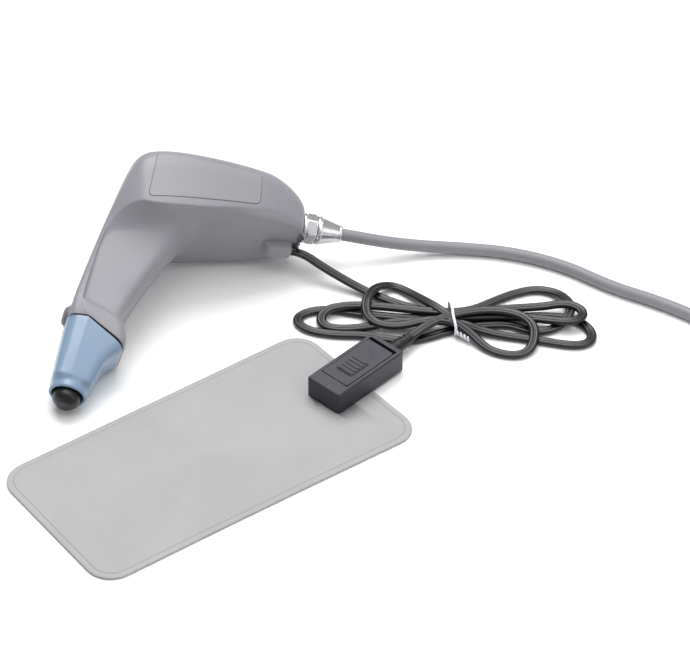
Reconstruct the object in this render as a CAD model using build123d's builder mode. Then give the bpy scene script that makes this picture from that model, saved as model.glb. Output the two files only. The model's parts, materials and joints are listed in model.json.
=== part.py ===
"""Treatment handpiece with hose and plug, return-electrode lead, lever clamp and pad.

Millimetres, +Z up. The origin is the centre of the pad's underside, on the surface that
everything lies on. The handpiece is drawn in its own frame (x along the body towards the
gland, y towards the palm side, z towards the upper cheek, origin at the electrode's end
face) and laid on its side by one plane. The clamp and the plug have planes of their own.
"""

import math
import os

from build123d import *

os.makedirs("parts", exist_ok=True)

# ---------------------------------------------------------------- driving dimensions
floor_gap = 0.2
running_gap = 0.05
assembly_gap = 0.15

# Where the handpiece lies.
handpiece_origin = (-78.05, 30.87, 8.8)
handpiece_along = (0.9701, 0.0275, -0.2413)
handpiece_up = (0.2370, -0.3242, 0.9158)

# Handle shells.
wall = 2.2
nose_lean = 8.82
rear_x = 122.0
palm_y = 161.5
inner_face_start = (40.0, 116.8)
inner_face_rear_y = 127.5
front_top_x = 24.0
front_top_radius = 18.0
rear_top_radius = 20.0
front_half_width = 33.5
rear_half_width = 26.8
rear_flat_half_width = 14.0
rear_taper_x = 98.0
palm_corner_radius = 18.0
hood_low = 104.0
hood_high = 126.0
neck_half_width = 16.0
seam_height = 3.0
strip_depth = 3.6
panel_depth = 1.0
panel_gap = 0.25

# Neck stations: distance from the electrode's end, outer edge, inner edge, half thickness.
neck_stations = [
    (34.0, -12.4, 22.4, 15.6),
    (46.0, -12.2, 22.3, 15.6),
    (57.0, -11.7, 17.2, 15.0),
    (82.0, -9.4, 23.6, 15.5),
    (104.0, -7.2, 31.5, 16.0),
    (127.0, -4.8, 42.0, 18.0),
]
# Nose cone stations, in the same terms.
cone_stations = [
    (5.0, -10.5, 10.5, 10.5),
    (15.0, -10.9, 12.1, 11.8),
    (28.0, -11.5, 14.9, 13.3),
    (37.0, -12.0, 21.3, 15.0),
    (52.0, -12.2, 22.0, 15.4),
]
cone_wall = 1.9
cone_mouth_radius = 8.75
joint_ridge = (-1.4, 48.8)
joint_slope = 0.48
gasket_thickness = 0.9
bulkhead_near = 15.6
bulkhead_far = 18.0

# Electrode.
tip_radius = 7.7
tip_length = 14.0
tip_chamfer = 2.0
spigot_radius = 4.0
spigot_length = 6.0
seal_width = 2.4
seal_near = 9.0
holder_radius = 6.0
holder_far = 51.2
rod_radius = 2.0
rod_far = 78.0

# Trigger button.
button_at = 56.4
button_face = 11.9
button_radius = 5.7
button_dome = 2.7
button_travel = 1.2
collar_radius = 6.9
collar_proud = 0.3
switch_side = 6.0
switch_height = 3.4
switch_board_size = (20.0, 12.0, 1.2)
switch_board_shift = 5.6

# Electronics.
board_length = 44.0
board_width = 36.0
board_thickness = 1.6
board_start = 12.0
board_lift = 8.0
post_radius = 2.6
post_inset = 4.0
board_screw_radius = 1.2
transformer_length = 24.0
transformer_width = 20.0
transformer_height = 13.0
core_leg = 5.0
winding_gap = 0.4

# Shell screws, along the inner face and across it.
shell_screw_along = (6.0, 64.0)
shell_screw_across = (24.0, 17.0)
shell_screw_radius = 1.45
shell_screw_head_radius = 2.8
shell_screw_length = 11.0
shell_screw_sunk = 1.3
shell_screw_head = 1.0
shell_screw_socket = 1.1
shell_screw_socket_depth = 0.6
boss_radius = 4.0

# Gland.
gland_y = 138.3
thread_radius = 5.9
gland_flange_radius = 8.7
gland_flange_thickness = 2.2
gland_seal_thickness = 0.8
hex_across_flats = 15.4
hex_length = 6.0
nut_length = 15.0
nut_wide_radius = 8.3
nut_narrow_radius = 4.6
locknut_thickness = 3.2
locknut_washer = 0.8
washer_rim = 2.6
locknut_rim = 2.2
hose_radius = 3.5
hose_clearance = 0.1
cable_core_radius = 2.5

# Lead port on the inner face.
port_from_rear = 18.0
port_start = rear_x - port_from_rear
port_length = 14.0
port_width = 9.0
port_proud = 6.0
port_across = -4.0
lead_radius = 1.5
lead_width = 4.8
lead_depth = 2.8
grommet_length = 3.0
grommet_radius = 3.0

# Hose route, coil and plug.
coil_centre = (317.3, 121.9)
coil_inner_radius = 34.0
coil_outer_radius = 41.0
coil_layers = 3
plug_heading = 83.9
plug_boot_length = 16.0
plug_boot_small = 4.6
plug_shell_radius = 8.6
plug_shell_length = 24.0
coupling_radius = 9.5
coupling_length = 12.0
coupling_bore = 7.4
insert_radius = 6.0
insert_neck_radius = 5.6
insert_length = 10.0
insert_clear = 2.5
contact_count = 6
contact_radius = 0.6
contact_circle = 3.6

# Tied hank of the lead.
hank_height = 7.0
tie_centre = (133.0, 108.0)
tie_width = 13.0
waist = 4.0
tie_strip = 3.6
tie_middle_height = 4.4
tie_end_shift = (4.5, -5.5)
tie_end_size = (4.0, 14.0)
tie_end_turn = 35
tie_end_thickness = 1.2

# Pad.
pad_length = 200.0
pad_width = 103.0
pad_turn = 36.7
pad_clamped_end = 100.0
pad_corner = 15.0
conductor_thickness = 0.5
backing_thickness = 1.0
border_width = 4.0
slot_length = 45.0
slot_width = 11.0
slot_from_edge = 26.0
slot_offset = 2.0
notch_half_width = 9.2

# Clamp.
clamp_origin = (61.0, 38.0)
clamp_turn = 46.5
clamp_length = 52.0
clamp_width = 24.0
clamp_height = 14.5
clamp_wall = 2.0
jaw_gap = 0.2
base_half_width = 7.8
base_thickness = 2.6
lever_start = 9.0
lever_half_width = 9.2
lever_thickness = 2.4
lever_gap = 0.4
lever_proud = 0.2
pin_radius = 1.2
pin_at = 44.0
pin_height = 11.4
barrel_radius = 2.5
thumb_size = (14.0, 11.0, 1.0)
thumb_at = 23.5
rib_count = 5
clamp_screw_spots = ((35.0, 0.0), (7.0, 0.0))
clamp_screw_radius = 1.25
clamp_screw_length = 6.4
clamp_screw_head_radius = 2.6
clamp_screw_head = 1.0
clamp_boss_radius = 3.2
lever_recess_end = 48.6
lever_end = 46.2
barrel_recess = 8.6
barrel_recess_shift = 0.3
contact_place = (21.0, 5.2)
contact_size = (20.0, 3.2)
contact_thickness = 0.4
relief_length = 18.0
relief_wide = 4.4
relief_narrow = 3.2
relief_height = 6.5

# ---------------------------------------------------------------- frames
HANDPIECE = Plane(origin=handpiece_origin, x_dir=handpiece_along, z_dir=handpiece_up)
lean = math.radians(nose_lean)
AXIS_DIR = Vector(math.sin(lean), math.cos(lean), 0)
ACROSS_DIR = Vector(math.cos(lean), -math.sin(lean), 0)
CLAMP = Plane(
    origin=(*clamp_origin, 0),
    x_dir=(math.cos(math.radians(clamp_turn)), math.sin(math.radians(clamp_turn)), 0),
    z_dir=(0, 0, 1),
)
pad_heading = (math.cos(math.radians(pad_turn)), math.sin(math.radians(pad_turn)))
pad_shift = pad_clamped_end - pad_length / 2
PAD = Plane(
    origin=(pad_shift * pad_heading[0], pad_shift * pad_heading[1], 0),
    x_dir=(*pad_heading, 0),
    z_dir=(0, 0, 1),
)


def neck_point(station, across):
    """Point of the handle's middle plane at a distance up the neck axis and across it."""
    return AXIS_DIR * station + ACROSS_DIR * across


def neck_plane(station, across=0.0):
    """Plane square to the neck axis: x across towards the inner side, normal up the neck."""
    return Plane(origin=neck_point(station, across), x_dir=ACROSS_DIR, z_dir=AXIS_DIR)


def write(name, builder, place=Plane.XY):
    """Label a finished sub-part, put it in its place and write its STEP."""
    solid = builder.part.moved(place.location)
    solid.label = name
    export_step(solid, f"parts/{name}.step")
    return solid


inner_face_slope = math.atan2(
    inner_face_rear_y - inner_face_start[1], rear_x - inner_face_start[0]
)
INNER_FACE = Plane(
    origin=(*inner_face_start, 0),
    x_dir=(math.cos(inner_face_slope), math.sin(inner_face_slope), 0),
    z_dir=(-math.sin(inner_face_slope), math.cos(inner_face_slope), 0),
)


# ---------------------------------------------------------------- handle form
def stations_loft(stations, inset):
    """Ellipses across the neck axis, each pulled in by the inset, lofted into one solid."""
    with BuildPart() as tube:
        for station, outer, inner, half in stations:
            with BuildSketch(neck_plane(station, (outer + inner) / 2)):
                Ellipse((inner - outer) / 2 - inset, half - inset)
        loft()
    return tube.part


def joint_line(lift=0.0):
    """The parting line between nose cone and neck, moved up the neck by the lift."""
    ridge_across, ridge_station = joint_ridge
    reach = 60.0
    return [
        neck_point(ridge_station + lift, ridge_across - reach),
        neck_point(ridge_station + lift, ridge_across),
        neck_point(ridge_station + lift - joint_slope * reach, ridge_across + reach),
    ]


def below_joint(lift=0.0):
    """Solid that fills the side of the parting line where the nose is."""
    left, ridge, right = joint_line(lift)
    with BuildPart() as side:
        with BuildSketch():
            with BuildLine():
                Polyline(
                    left, ridge, right, right - AXIS_DIR * 90, left - AXIS_DIR * 90, close=True
                )
            make_face()
        extrude(amount=60, both=True)
    return side.part


def handle_form(inset):
    """Outer form of body and neck together, every face pulled in by the inset."""
    with BuildPart() as body:
        with BuildSketch():
            with BuildLine():
                hood = neck_point(hood_low + 4, -6.8)
                outline = Polyline(
                    (rear_x, inner_face_rear_y),
                    (rear_x, palm_y),
                    (front_top_x, palm_y),
                    (hood.X, hood.Y),
                    inner_face_start,
                    close=True,
                )
            face = make_face()
            top = face.vertices().group_by(Axis.Y)[-1].sort_by(Axis.X)
            fillet(top[0], front_top_radius)
            fillet(top[-1], rear_top_radius)
            if inset:
                offset(amount=-inset, kind=Kind.INTERSECTION)
        extrude(amount=front_half_width + 2, both=True)
        # Plan outline: widest at the front, tapering to the rear face.
        with BuildSketch(Plane.XZ.offset(-palm_y - 5)):
            with BuildLine():
                Polyline(
                    (-20, -front_half_width),
                    (inner_face_start[0], -front_half_width),
                    (rear_taper_x, -rear_half_width),
                    (rear_x, -rear_flat_half_width),
                    (rear_x, rear_flat_half_width),
                    (rear_taper_x, rear_half_width),
                    (inner_face_start[0], front_half_width),
                    (-20, front_half_width),
                    close=True,
                )
            make_face()
            if inset:
                offset(amount=-inset, kind=Kind.INTERSECTION)
        extrude(amount=90, mode=Mode.INTERSECT)
        # Section along the body: round corners on the palm side.
        with BuildSketch(Plane.YZ.offset(-30)):
            with Locations((palm_y - 60, 0)):
                Rectangle(120 - 2 * inset, 2 * (front_half_width + 0.5 - inset))
            palm = vertices().group_by(Axis.Y)[-1]
            fillet(palm, palm_corner_radius - inset)
        extrude(amount=180, mode=Mode.INTERSECT)
        # Hood: seen along the front face it narrows from the body to the neck.
        hood_plane = Plane(
            origin=neck_point(0, -40), x_dir=AXIS_DIR, z_dir=ACROSS_DIR
        )
        with BuildSketch(hood_plane):
            with BuildLine():
                Polyline(
                    (hood_low - 30, neck_half_width - inset),
                    (hood_low, neck_half_width - inset),
                    (hood_high, front_half_width + 1 - inset),
                    (240, front_half_width + 1 - inset),
                    (240, -front_half_width - 1 + inset),
                    (hood_high, -front_half_width - 1 + inset),
                    (hood_low, -neck_half_width + inset),
                    (hood_low - 30, -neck_half_width + inset),
                    close=True,
                )
            make_face()
        extrude(amount=240, mode=Mode.INTERSECT)
    with BuildPart() as neck:
        add(stations_loft(neck_stations, inset))
        add(below_joint(inset), mode=Mode.SUBTRACT)
    with BuildPart() as form:
        add(body.part)
        add(neck.part)
    return form.part


def seam_side():
    """Solid on the inner side of the line where the two shells part."""
    rise = seam_height / math.cos(inner_face_slope)
    start = Vector(*inner_face_start, 0) + Vector(0, rise, 0)
    end = Vector(rear_x, inner_face_rear_y + rise, 0)
    beyond = end + (end - start) * 0.3
    high = neck_point(hood_low, -7.2 + strip_depth)
    low = neck_point(neck_stations[0][0] - 10, -12.4 + strip_depth)
    with BuildPart() as side:
        with BuildSketch():
            with BuildLine():
                Polyline(
                    beyond, start, high, low, low - AXIS_DIR * 20, (beyond.X, -20, 0), close=True
                )
            make_face()
        extrude(amount=60, both=True)
    return side.part


outer_form = handle_form(0.0)
inner_form = handle_form(wall)
panel_form = handle_form(panel_depth)
inner_side = seam_side()


def panel_outline(shrink):
    """Panel recess in the cheek: a rounded four-sided prism on both sides of the handle."""
    with BuildPart() as prism:
        with BuildSketch():
            with BuildLine():
                Polyline((29.0, 126.0), (34.5, 150.5), (93.5, 149.5), (92.5, 128.5), close=True)
            make_face()
            fillet(vertices(), 4.0)
            if shrink:
                offset(amount=-shrink)
        extrude(amount=60, both=True)
        with BuildSketch():
            Rectangle(400, 400)
        extrude(amount=12, both=True, mode=Mode.SUBTRACT)
    return prism.part


port_plane = Plane(
    origin=INNER_FACE.from_local_coords(
        (port_start - inner_face_start[0], -port_across, -port_proud)
    ),
    x_dir=INNER_FACE.x_dir,
    z_dir=INNER_FACE.z_dir,
)
BUTTON = Plane(origin=neck_point(button_at, 0), x_dir=AXIS_DIR, z_dir=-ACROSS_DIR)
GLAND = Plane(origin=(rear_x, gland_y, 0), x_dir=(0, 0, 1), z_dir=(1, 0, 0))
screw_places = [
    (along, side * across)
    for along, across in zip(shell_screw_along, shell_screw_across)
    for side in (-1, 1)
]
post_places = [
    (board_start + along, side * (board_width / 2 - post_inset))
    for along in (post_inset, board_length - post_inset)
    for side in (-1, 1)
]

with BuildPart() as recess:
    add(panel_outline(0))
    add(panel_form, mode=Mode.SUBTRACT)
panel_recess = recess.part

with BuildPart() as outer_shell:
    add(outer_form)
    add(inner_form, mode=Mode.SUBTRACT)
    add(inner_side, mode=Mode.SUBTRACT)
    # Bosses for the shell screws, grown from the palm side and kept inside the form.
    with BuildSketch(INNER_FACE.offset(seam_height)):
        with Locations(*screw_places):
            Circle(boss_radius)
    extrude(amount=60)
    add(outer_form, mode=Mode.INTERSECT)
    with BuildSketch(INNER_FACE.offset(seam_height - 1)):
        with Locations(*screw_places):
            Circle(shell_screw_radius + running_gap)
    extrude(amount=shell_screw_length + 1, mode=Mode.SUBTRACT)
    add(panel_recess, mode=Mode.SUBTRACT)
    with BuildSketch(BUTTON):
        Circle(collar_radius + running_gap)
    extrude(amount=30, mode=Mode.SUBTRACT)
    with BuildSketch(GLAND.offset(-15)):
        Circle(thread_radius + assembly_gap)
    extrude(amount=30, mode=Mode.SUBTRACT)
write("outer_shell", outer_shell, HANDPIECE)

with BuildPart() as inner_shell:
    add(outer_form)
    add(inner_form, mode=Mode.SUBTRACT)
    add(inner_side, mode=Mode.INTERSECT)
    with BuildSketch(INNER_FACE.offset(wall - 0.5)):
        with Locations(*post_places):
            Circle(post_radius)
    extrude(amount=board_lift - wall + 0.5)
    with BuildSketch(INNER_FACE.offset(wall)):
        with Locations(*post_places):
            Circle(board_screw_radius + running_gap)
    extrude(amount=board_lift - wall, mode=Mode.SUBTRACT)
    # Bosses under the screw heads, up to the other shell's bosses.
    with BuildSketch(INNER_FACE.offset(wall - 0.5)):
        with Locations(*screw_places):
            Circle(boss_radius)
    extrude(amount=seam_height - wall + 0.5)
    with BuildSketch(INNER_FACE.offset(-2)):
        with Locations(*screw_places):
            Circle(shell_screw_radius + assembly_gap)
    extrude(amount=10, mode=Mode.SUBTRACT)
    with BuildSketch(INNER_FACE.offset(-2)):
        with Locations(*screw_places):
            Circle(shell_screw_head_radius + assembly_gap)
    extrude(amount=2 + shell_screw_sunk + shell_screw_head, mode=Mode.SUBTRACT)
    with BuildSketch(neck_plane(30)):
        Circle(holder_radius + assembly_gap)
    extrude(amount=30, mode=Mode.SUBTRACT)
    with BuildSketch(port_plane.offset(port_proud - 1)):
        with Locations((port_length / 2, 0)):
            SlotOverall(lead_width + 1.2, lead_depth + 0.6, rotation=90)
    extrude(amount=8, mode=Mode.SUBTRACT)
write("inner_shell", inner_shell, HANDPIECE)
print("shell solids", len(outer_shell.part.solids()), len(inner_shell.part.solids()))

# ---------------------------------------------------------------- panels and nose
for side_name, upper in (("side_panel_upper", True), ("side_panel_lower", False)):
    with BuildPart() as side_panel:
        add(panel_outline(panel_gap))
        add(outer_form, mode=Mode.INTERSECT)
        add(panel_form, mode=Mode.SUBTRACT)
        split(bisect_by=Plane.XY, keep=Keep.TOP if upper else Keep.BOTTOM)
    write(side_name, side_panel, HANDPIECE)

cone_outer = stations_loft(cone_stations, 0.0)
cone_inner = stations_loft(cone_stations, cone_wall)
neck_foot = stations_loft(neck_stations, 0.6)

with BuildPart() as nose_gasket:
    add(neck_foot)
    add(below_joint(0), mode=Mode.INTERSECT)
    add(below_joint(-gasket_thickness), mode=Mode.SUBTRACT)
    add(stations_loft(neck_stations, 0.6 + cone_wall), mode=Mode.SUBTRACT)
write("nose_gasket", nose_gasket, HANDPIECE)

with BuildPart() as nose_cone:
    add(cone_outer)
    add(cone_inner, mode=Mode.SUBTRACT)
    with BuildSketch(neck_plane(bulkhead_near)):
        Ellipse(14, 14)
    extrude(amount=bulkhead_far - bulkhead_near)
    add(cone_outer, mode=Mode.INTERSECT)
    with BuildSketch(neck_plane(0)):
        Circle(holder_radius + assembly_gap)
    extrude(amount=40, mode=Mode.SUBTRACT)
    add(below_joint(-gasket_thickness), mode=Mode.INTERSECT)
    with BuildSketch(neck_plane(0)):
        Circle(cone_mouth_radius)
    extrude(amount=bulkhead_near - 0.4, mode=Mode.SUBTRACT)
write("nose_cone", nose_cone, HANDPIECE)

with BuildPart() as electrode_tip:
    with BuildSketch(neck_plane(0)):
        Circle(tip_radius)
    extrude(amount=tip_length)
    chamfer(electrode_tip.faces().sort_by(Axis.Y)[0].edges(), tip_chamfer)
    with BuildSketch(neck_plane(tip_length)):
        Circle(spigot_radius)
    extrude(amount=spigot_length)
write("electrode_tip", electrode_tip, HANDPIECE)

with BuildPart() as tip_seal:
    with BuildSketch(neck_plane(seal_near)):
        Circle(cone_mouth_radius - running_gap)
        Circle(tip_radius + running_gap, mode=Mode.SUBTRACT)
    extrude(amount=seal_width)
write("tip_seal", tip_seal, HANDPIECE)

with BuildPart() as electrode_holder:
    with BuildSketch(neck_plane(tip_length + assembly_gap)):
        Circle(holder_radius)
        Circle(spigot_radius + running_gap, mode=Mode.SUBTRACT)
    extrude(amount=spigot_length)
    with BuildSketch(neck_plane(tip_length + assembly_gap + spigot_length)):
        Circle(holder_radius)
        Circle(rod_radius + running_gap, mode=Mode.SUBTRACT)
    extrude(amount=holder_far - tip_length - spigot_length)
    with BuildSketch(neck_plane(bulkhead_far + assembly_gap)):
        Circle(holder_radius + 2.5)
        Circle(holder_radius, mode=Mode.SUBTRACT)
    extrude(amount=2.0)
write("electrode_holder", electrode_holder, HANDPIECE)

with BuildPart() as electrode_rod:
    with BuildSketch(neck_plane(tip_length + spigot_length + assembly_gap)):
        Circle(rod_radius)
    extrude(amount=rod_far - tip_length - spigot_length)
    with BuildSketch(neck_plane(rod_far - 6)):
        Circle(rod_radius + 1.6)
    extrude(amount=4)
write("electrode_rod", electrode_rod, HANDPIECE)

# ---------------------------------------------------------------- trigger button
collar_face = button_face + collar_proud
flange_radius = button_radius + 0.7
flange_top = collar_face - 2.4

with BuildPart() as button_collar:
    with BuildSketch(BUTTON.offset(flange_top + 0.1)):
        Circle(collar_radius)
        Circle(button_radius + assembly_gap, mode=Mode.SUBTRACT)
    extrude(amount=collar_face - flange_top - 0.1)
write("button_collar", button_collar, HANDPIECE)

with BuildPart() as trigger_button:
    with BuildSketch(BUTTON.offset(flange_top - 1.2)):
        Circle(flange_radius)
    extrude(amount=1.2)
    with BuildSketch(BUTTON.offset(flange_top)):
        Circle(button_radius)
    extrude(amount=collar_face - flange_top)
    dome_radius = (button_radius**2 + button_dome**2) / (2 * button_dome)
    with BuildSketch(Plane(origin=BUTTON.origin, x_dir=BUTTON.x_dir, z_dir=(0, 0, 1))):
        with BuildLine():
            base_level = collar_face
            foot = Line((0, base_level), (button_radius, base_level))
            arc = RadiusArc((button_radius, base_level), (0, base_level + button_dome), -dome_radius)
            Line(arc @ 1, foot @ 0)
        make_face()
    revolve(axis=Axis(BUTTON.origin, BUTTON.z_dir))
write("trigger_button", trigger_button, HANDPIECE)

switch_top = flange_top - 1.2 - button_travel - 0.1
switch_board_top = switch_top - switch_height
with BuildPart() as button_switch:
    with BuildSketch(BUTTON.offset(switch_board_top)):
        Rectangle(switch_side, switch_side)
    extrude(amount=switch_height - 1.0)
    with BuildSketch(BUTTON.offset(switch_top - 1.0)):
        Circle(1.7)
    extrude(amount=1.0)
write("button_switch", button_switch, HANDPIECE)

with BuildPart() as switch_board:
    length, width, thickness = switch_board_size
    with BuildSketch(BUTTON.offset(switch_board_top - thickness)):
        with Locations((switch_board_shift, 0)):
            RectangleRounded(length, width, 1.0)
    extrude(amount=thickness)
write("switch_board", switch_board, HANDPIECE)

# ---------------------------------------------------------------- electronics
board_top = board_lift + board_thickness
board_centre = (board_start + board_length / 2, 0)

with BuildPart() as main_board:
    with BuildSketch(INNER_FACE.offset(board_lift)):
        with Locations(board_centre):
            RectangleRounded(board_length, board_width, 2.0)
        with Locations(*post_places):
            Circle(board_screw_radius + running_gap, mode=Mode.SUBTRACT)
    extrude(amount=board_thickness)
write("main_board", main_board, HANDPIECE)

window_length = (transformer_length - 3 * core_leg) / 2
with BuildPart() as transformer_core:
    with BuildSketch(INNER_FACE.offset(board_top)):
        with Locations(board_centre):
            Rectangle(transformer_length, transformer_width)
            with Locations(
                (-(core_leg + window_length) / 2, 0), ((core_leg + window_length) / 2, 0)
            ):
                Rectangle(window_length, transformer_width - 2 * core_leg, mode=Mode.SUBTRACT)
    extrude(amount=transformer_height)
write("transformer_core", transformer_core, HANDPIECE)

with BuildPart() as transformer_winding:
    with BuildSketch(INNER_FACE.offset(board_top + 1.0)):
        with Locations(board_centre):
            Rectangle(
                core_leg + 2 * window_length - 2 * winding_gap,
                transformer_width - 2 * core_leg - 2 * winding_gap,
            )
            Rectangle(
                core_leg + 2 * winding_gap,
                transformer_width - 2 * core_leg - 2 * winding_gap,
                mode=Mode.SUBTRACT,
            )
    extrude(amount=transformer_height - 2.0)
write("transformer_winding", transformer_winding, HANDPIECE)

with BuildPart() as board_capacitors:
    with BuildSketch(INNER_FACE.offset(board_top)):
        with Locations((board_start + 5.0, -5.0), (board_start + 5.0, 5.0)):
            Circle(3.0)
    extrude(amount=9.0)
write("board_capacitors", board_capacitors, HANDPIECE)

with BuildPart() as board_screws:
    with BuildSketch(INNER_FACE.offset(board_lift - 4.0)):
        with Locations(*post_places):
            Circle(board_screw_radius)
    extrude(amount=4.0 + board_thickness)
    with BuildSketch(INNER_FACE.offset(board_top)):
        with Locations(*post_places):
            Circle(board_screw_radius + 1.0)
    extrude(amount=1.2)
write("board_screws", board_screws, HANDPIECE)

with BuildPart() as shell_screws:
    with BuildSketch(INNER_FACE.offset(shell_screw_sunk)):
        with Locations(*screw_places):
            Circle(shell_screw_head_radius)
    extrude(amount=shell_screw_head)
    with BuildSketch(INNER_FACE.offset(shell_screw_sunk + shell_screw_head)):
        with Locations(*screw_places):
            Circle(shell_screw_radius)
    extrude(amount=shell_screw_length - shell_screw_sunk)
    with BuildSketch(INNER_FACE.offset(shell_screw_sunk)):
        with Locations(*screw_places):
            RegularPolygon(shell_screw_socket, 6)
    extrude(amount=shell_screw_socket_depth, mode=Mode.SUBTRACT)
write("shell_screws", shell_screws, HANDPIECE)

# ---------------------------------------------------------------- gland
hose_bore = hose_radius + hose_clearance
gland_flange_far = gland_seal_thickness + gland_flange_thickness
hex_far = gland_flange_far + hex_length
nut_far = hex_far + nut_length
thread_start = -(wall + locknut_washer + locknut_thickness + 1.5)

with BuildPart() as gland_body:
    with BuildSketch(GLAND.offset(thread_start)):
        Circle(thread_radius)
    extrude(amount=-thread_start + gland_seal_thickness)
    with BuildSketch(GLAND.offset(gland_seal_thickness)):
        Circle(gland_flange_radius)
    extrude(amount=gland_flange_thickness)
    with BuildSketch(GLAND.offset(gland_flange_far)):
        RegularPolygon(hex_across_flats / 2, 6, major_radius=False)
    extrude(amount=hex_length)
    with BuildSketch(GLAND.offset(thread_start)):
        Circle(hose_bore)
    extrude(amount=hex_far - thread_start, mode=Mode.SUBTRACT)
write("gland_body", gland_body, HANDPIECE)

with BuildPart() as gland_nut:
    with BuildSketch(GLAND.offset(hex_far)):
        Circle(nut_wide_radius)
    with BuildSketch(GLAND.offset(nut_far)):
        Circle(nut_narrow_radius)
    loft()
    with BuildSketch(GLAND.offset(hex_far)):
        Circle(hose_bore)
    extrude(amount=nut_length, mode=Mode.SUBTRACT)
write("gland_nut", gland_nut, HANDPIECE)

with BuildPart() as gland_seal:
    with BuildSketch(GLAND):
        Circle(gland_flange_radius - 0.5)
        Circle(thread_radius + running_gap, mode=Mode.SUBTRACT)
    extrude(amount=gland_seal_thickness)
write("gland_seal", gland_seal, HANDPIECE)

with BuildPart() as gland_washer:
    with BuildSketch(GLAND.offset(-wall - locknut_washer)):
        Circle(thread_radius + washer_rim)
        Circle(thread_radius + running_gap, mode=Mode.SUBTRACT)
    extrude(amount=locknut_washer)
write("gland_washer", gland_washer, HANDPIECE)

with BuildPart() as gland_locknut:
    with BuildSketch(GLAND.offset(-wall - locknut_washer - locknut_thickness)):
        RegularPolygon(thread_radius + locknut_rim, 6, major_radius=False)
        Circle(thread_radius + running_gap, mode=Mode.SUBTRACT)
    extrude(amount=locknut_thickness)
write("gland_locknut", gland_locknut, HANDPIECE)

with BuildPart() as cable_core:
    with BuildSketch(GLAND.offset(thread_start - 5)):
        Circle(cable_core_radius)
    extrude(amount=5 - thread_start + hex_far)
write("cable_core", cable_core, HANDPIECE)

# ---------------------------------------------------------------- lead port
port_end = port_start - inner_face_start[0] + port_length
with BuildPart() as lead_port:
    with BuildSketch(port_plane):
        with Locations((port_length / 2, 0)):
            RectangleRounded(port_length, port_width, 1.2)
    extrude(amount=port_proud)
    with BuildSketch(port_plane.offset(1.5)):
        with Locations((port_length / 2 - 0.5, 0)):
            Rectangle(port_length - 5, lead_width + 1.2)
    extrude(amount=port_proud, mode=Mode.SUBTRACT)
write("lead_port", lead_port, HANDPIECE)

grommet_plane = Plane(
    origin=INNER_FACE.from_local_coords((port_end, -port_across, -port_proud / 2)),
    x_dir=(0, 0, 1),
    z_dir=INNER_FACE.x_dir,
)
with BuildPart() as lead_grommet:
    with BuildSketch(grommet_plane):
        SlotOverall(lead_width + 1.4, lead_depth + 1.2)
    extrude(amount=grommet_length)
write("lead_grommet", lead_grommet, HANDPIECE)

lead_exit = HANDPIECE.from_local_coords(grommet_plane.from_local_coords((0, 0, grommet_length)))
gland_exit = HANDPIECE.from_local_coords(Vector(rear_x + nut_far, gland_y, 0))
print("lead leaves at", lead_exit, "hose leaves at", gland_exit)
print("hose heading", HANDPIECE.x_dir, "lead heading", INNER_FACE.x_dir)


# ---------------------------------------------------------------- cords
def cord_tube(name, points, radius):
    """Round tube along straight runs joined by arcs as large as the two runs allow."""
    spots = [Vector(*point) for point in points]
    runs = [after - before for before, after in zip(spots, spots[1:])]
    radii = []
    for run, following in zip(runs, runs[1:]):
        half_turn = math.radians(run.get_angle(following)) / 2
        radii.append(0.45 * min(run.length, following.length) / math.tan(half_turn))
    print(name, "runs", [round(run.length, 1) for run in runs])
    print(name, "radii", [round(value, 1) for value in radii])
    with BuildPart() as tube:
        with BuildLine() as path:
            FilletPolyline(*points, radius=radii)
        with BuildSketch(Plane(origin=spots[0], z_dir=runs[0].normalized())):
            Circle(radius)
        sweep(path=path.wires()[0])
    length = path.wires()[0].length
    print(name, "length", round(length, 1), "volume", round(tube.part.volume, 1),
          "section times length", round(math.pi * radius**2 * length, 1))
    write(name, tube)
    return length


def follow(points, start):
    """The points with the first two moved so that the first is at start; the move fades out."""
    move = start - Vector(*points[0])
    count = len(points) - 2
    return [
        tuple(Vector(*point) + move * (1 - max(i - 1, 0) / count)) for i, point in enumerate(points)
    ]


hose_start = HANDPIECE.from_local_coords(Vector(rear_x + hex_far, gland_y, 0))
hose_route = follow(
    [
        (65.09, 165.50, 19.41),
        (80.61, 165.94, 15.55),
        (97.0, 167.3, 10.8),
        (117.0, 170.0, 6.1),
        (140.0, 170.6, 3.9),
        (168.0, 167.0, 3.7),
        (198.0, 155.0, 3.7),
        (223.0, 136.0, 3.7),
        (247.0, 124.0, 3.7),
        (269.0, 110.0, 3.7),
        (289.3, 92.0, 3.7),
    ],
    hose_start,
)
tail_route = [
    (346.3, 92.9, 17.7),
    (361.3, 107.9, 16.0),
    (369.8, 125.9, 12.5),
    (373.3, 143.9, 10.0),
    (374.8, 157.9, 9.7),
]
lead_route = follow(
    [
        (43.7, 152.9, 15.9),
        (50.0, 151.8, 14.8),
        (58.0, 147.0, 11.5),
        (70.0, 140.5, 7.2),
        (86.0, 132.0, 3.4),
        (103.0, 121.5, 2.2),
        (118.0, 113.0, 2.8),
        (131.0, 108.4, 3.9),
    ],
    lead_exit,
)
clamp_lead_route = [
    (107.5, 87.0, 6.5),
    (112.6, 92.4, 6.3),
    (118.5, 99.8, 4.6),
    (125.5, 105.8, 3.6),
    (131.0, 108.2, 3.9),
]
cord_tube("hose", hose_route, hose_radius)
cord_tube("hose_tail", tail_route, hose_radius)
cord_tube("lead_tube", lead_route, lead_radius)
cord_tube("clamp_lead_tube", clamp_lead_route, lead_radius)

coil_height = 2 * hose_radius * coil_layers
with BuildPart() as hose_coil:
    with BuildSketch(Plane(origin=(*coil_centre, floor_gap))):
        Circle(coil_outer_radius + hose_radius + floor_gap)
        Circle(coil_inner_radius - hose_radius, mode=Mode.SUBTRACT)
    extrude(amount=coil_height + 0.4)
    fillet(hose_coil.edges().filter_by(GeomType.CIRCLE), 2.5)
write("hose_coil", hose_coil)

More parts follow.
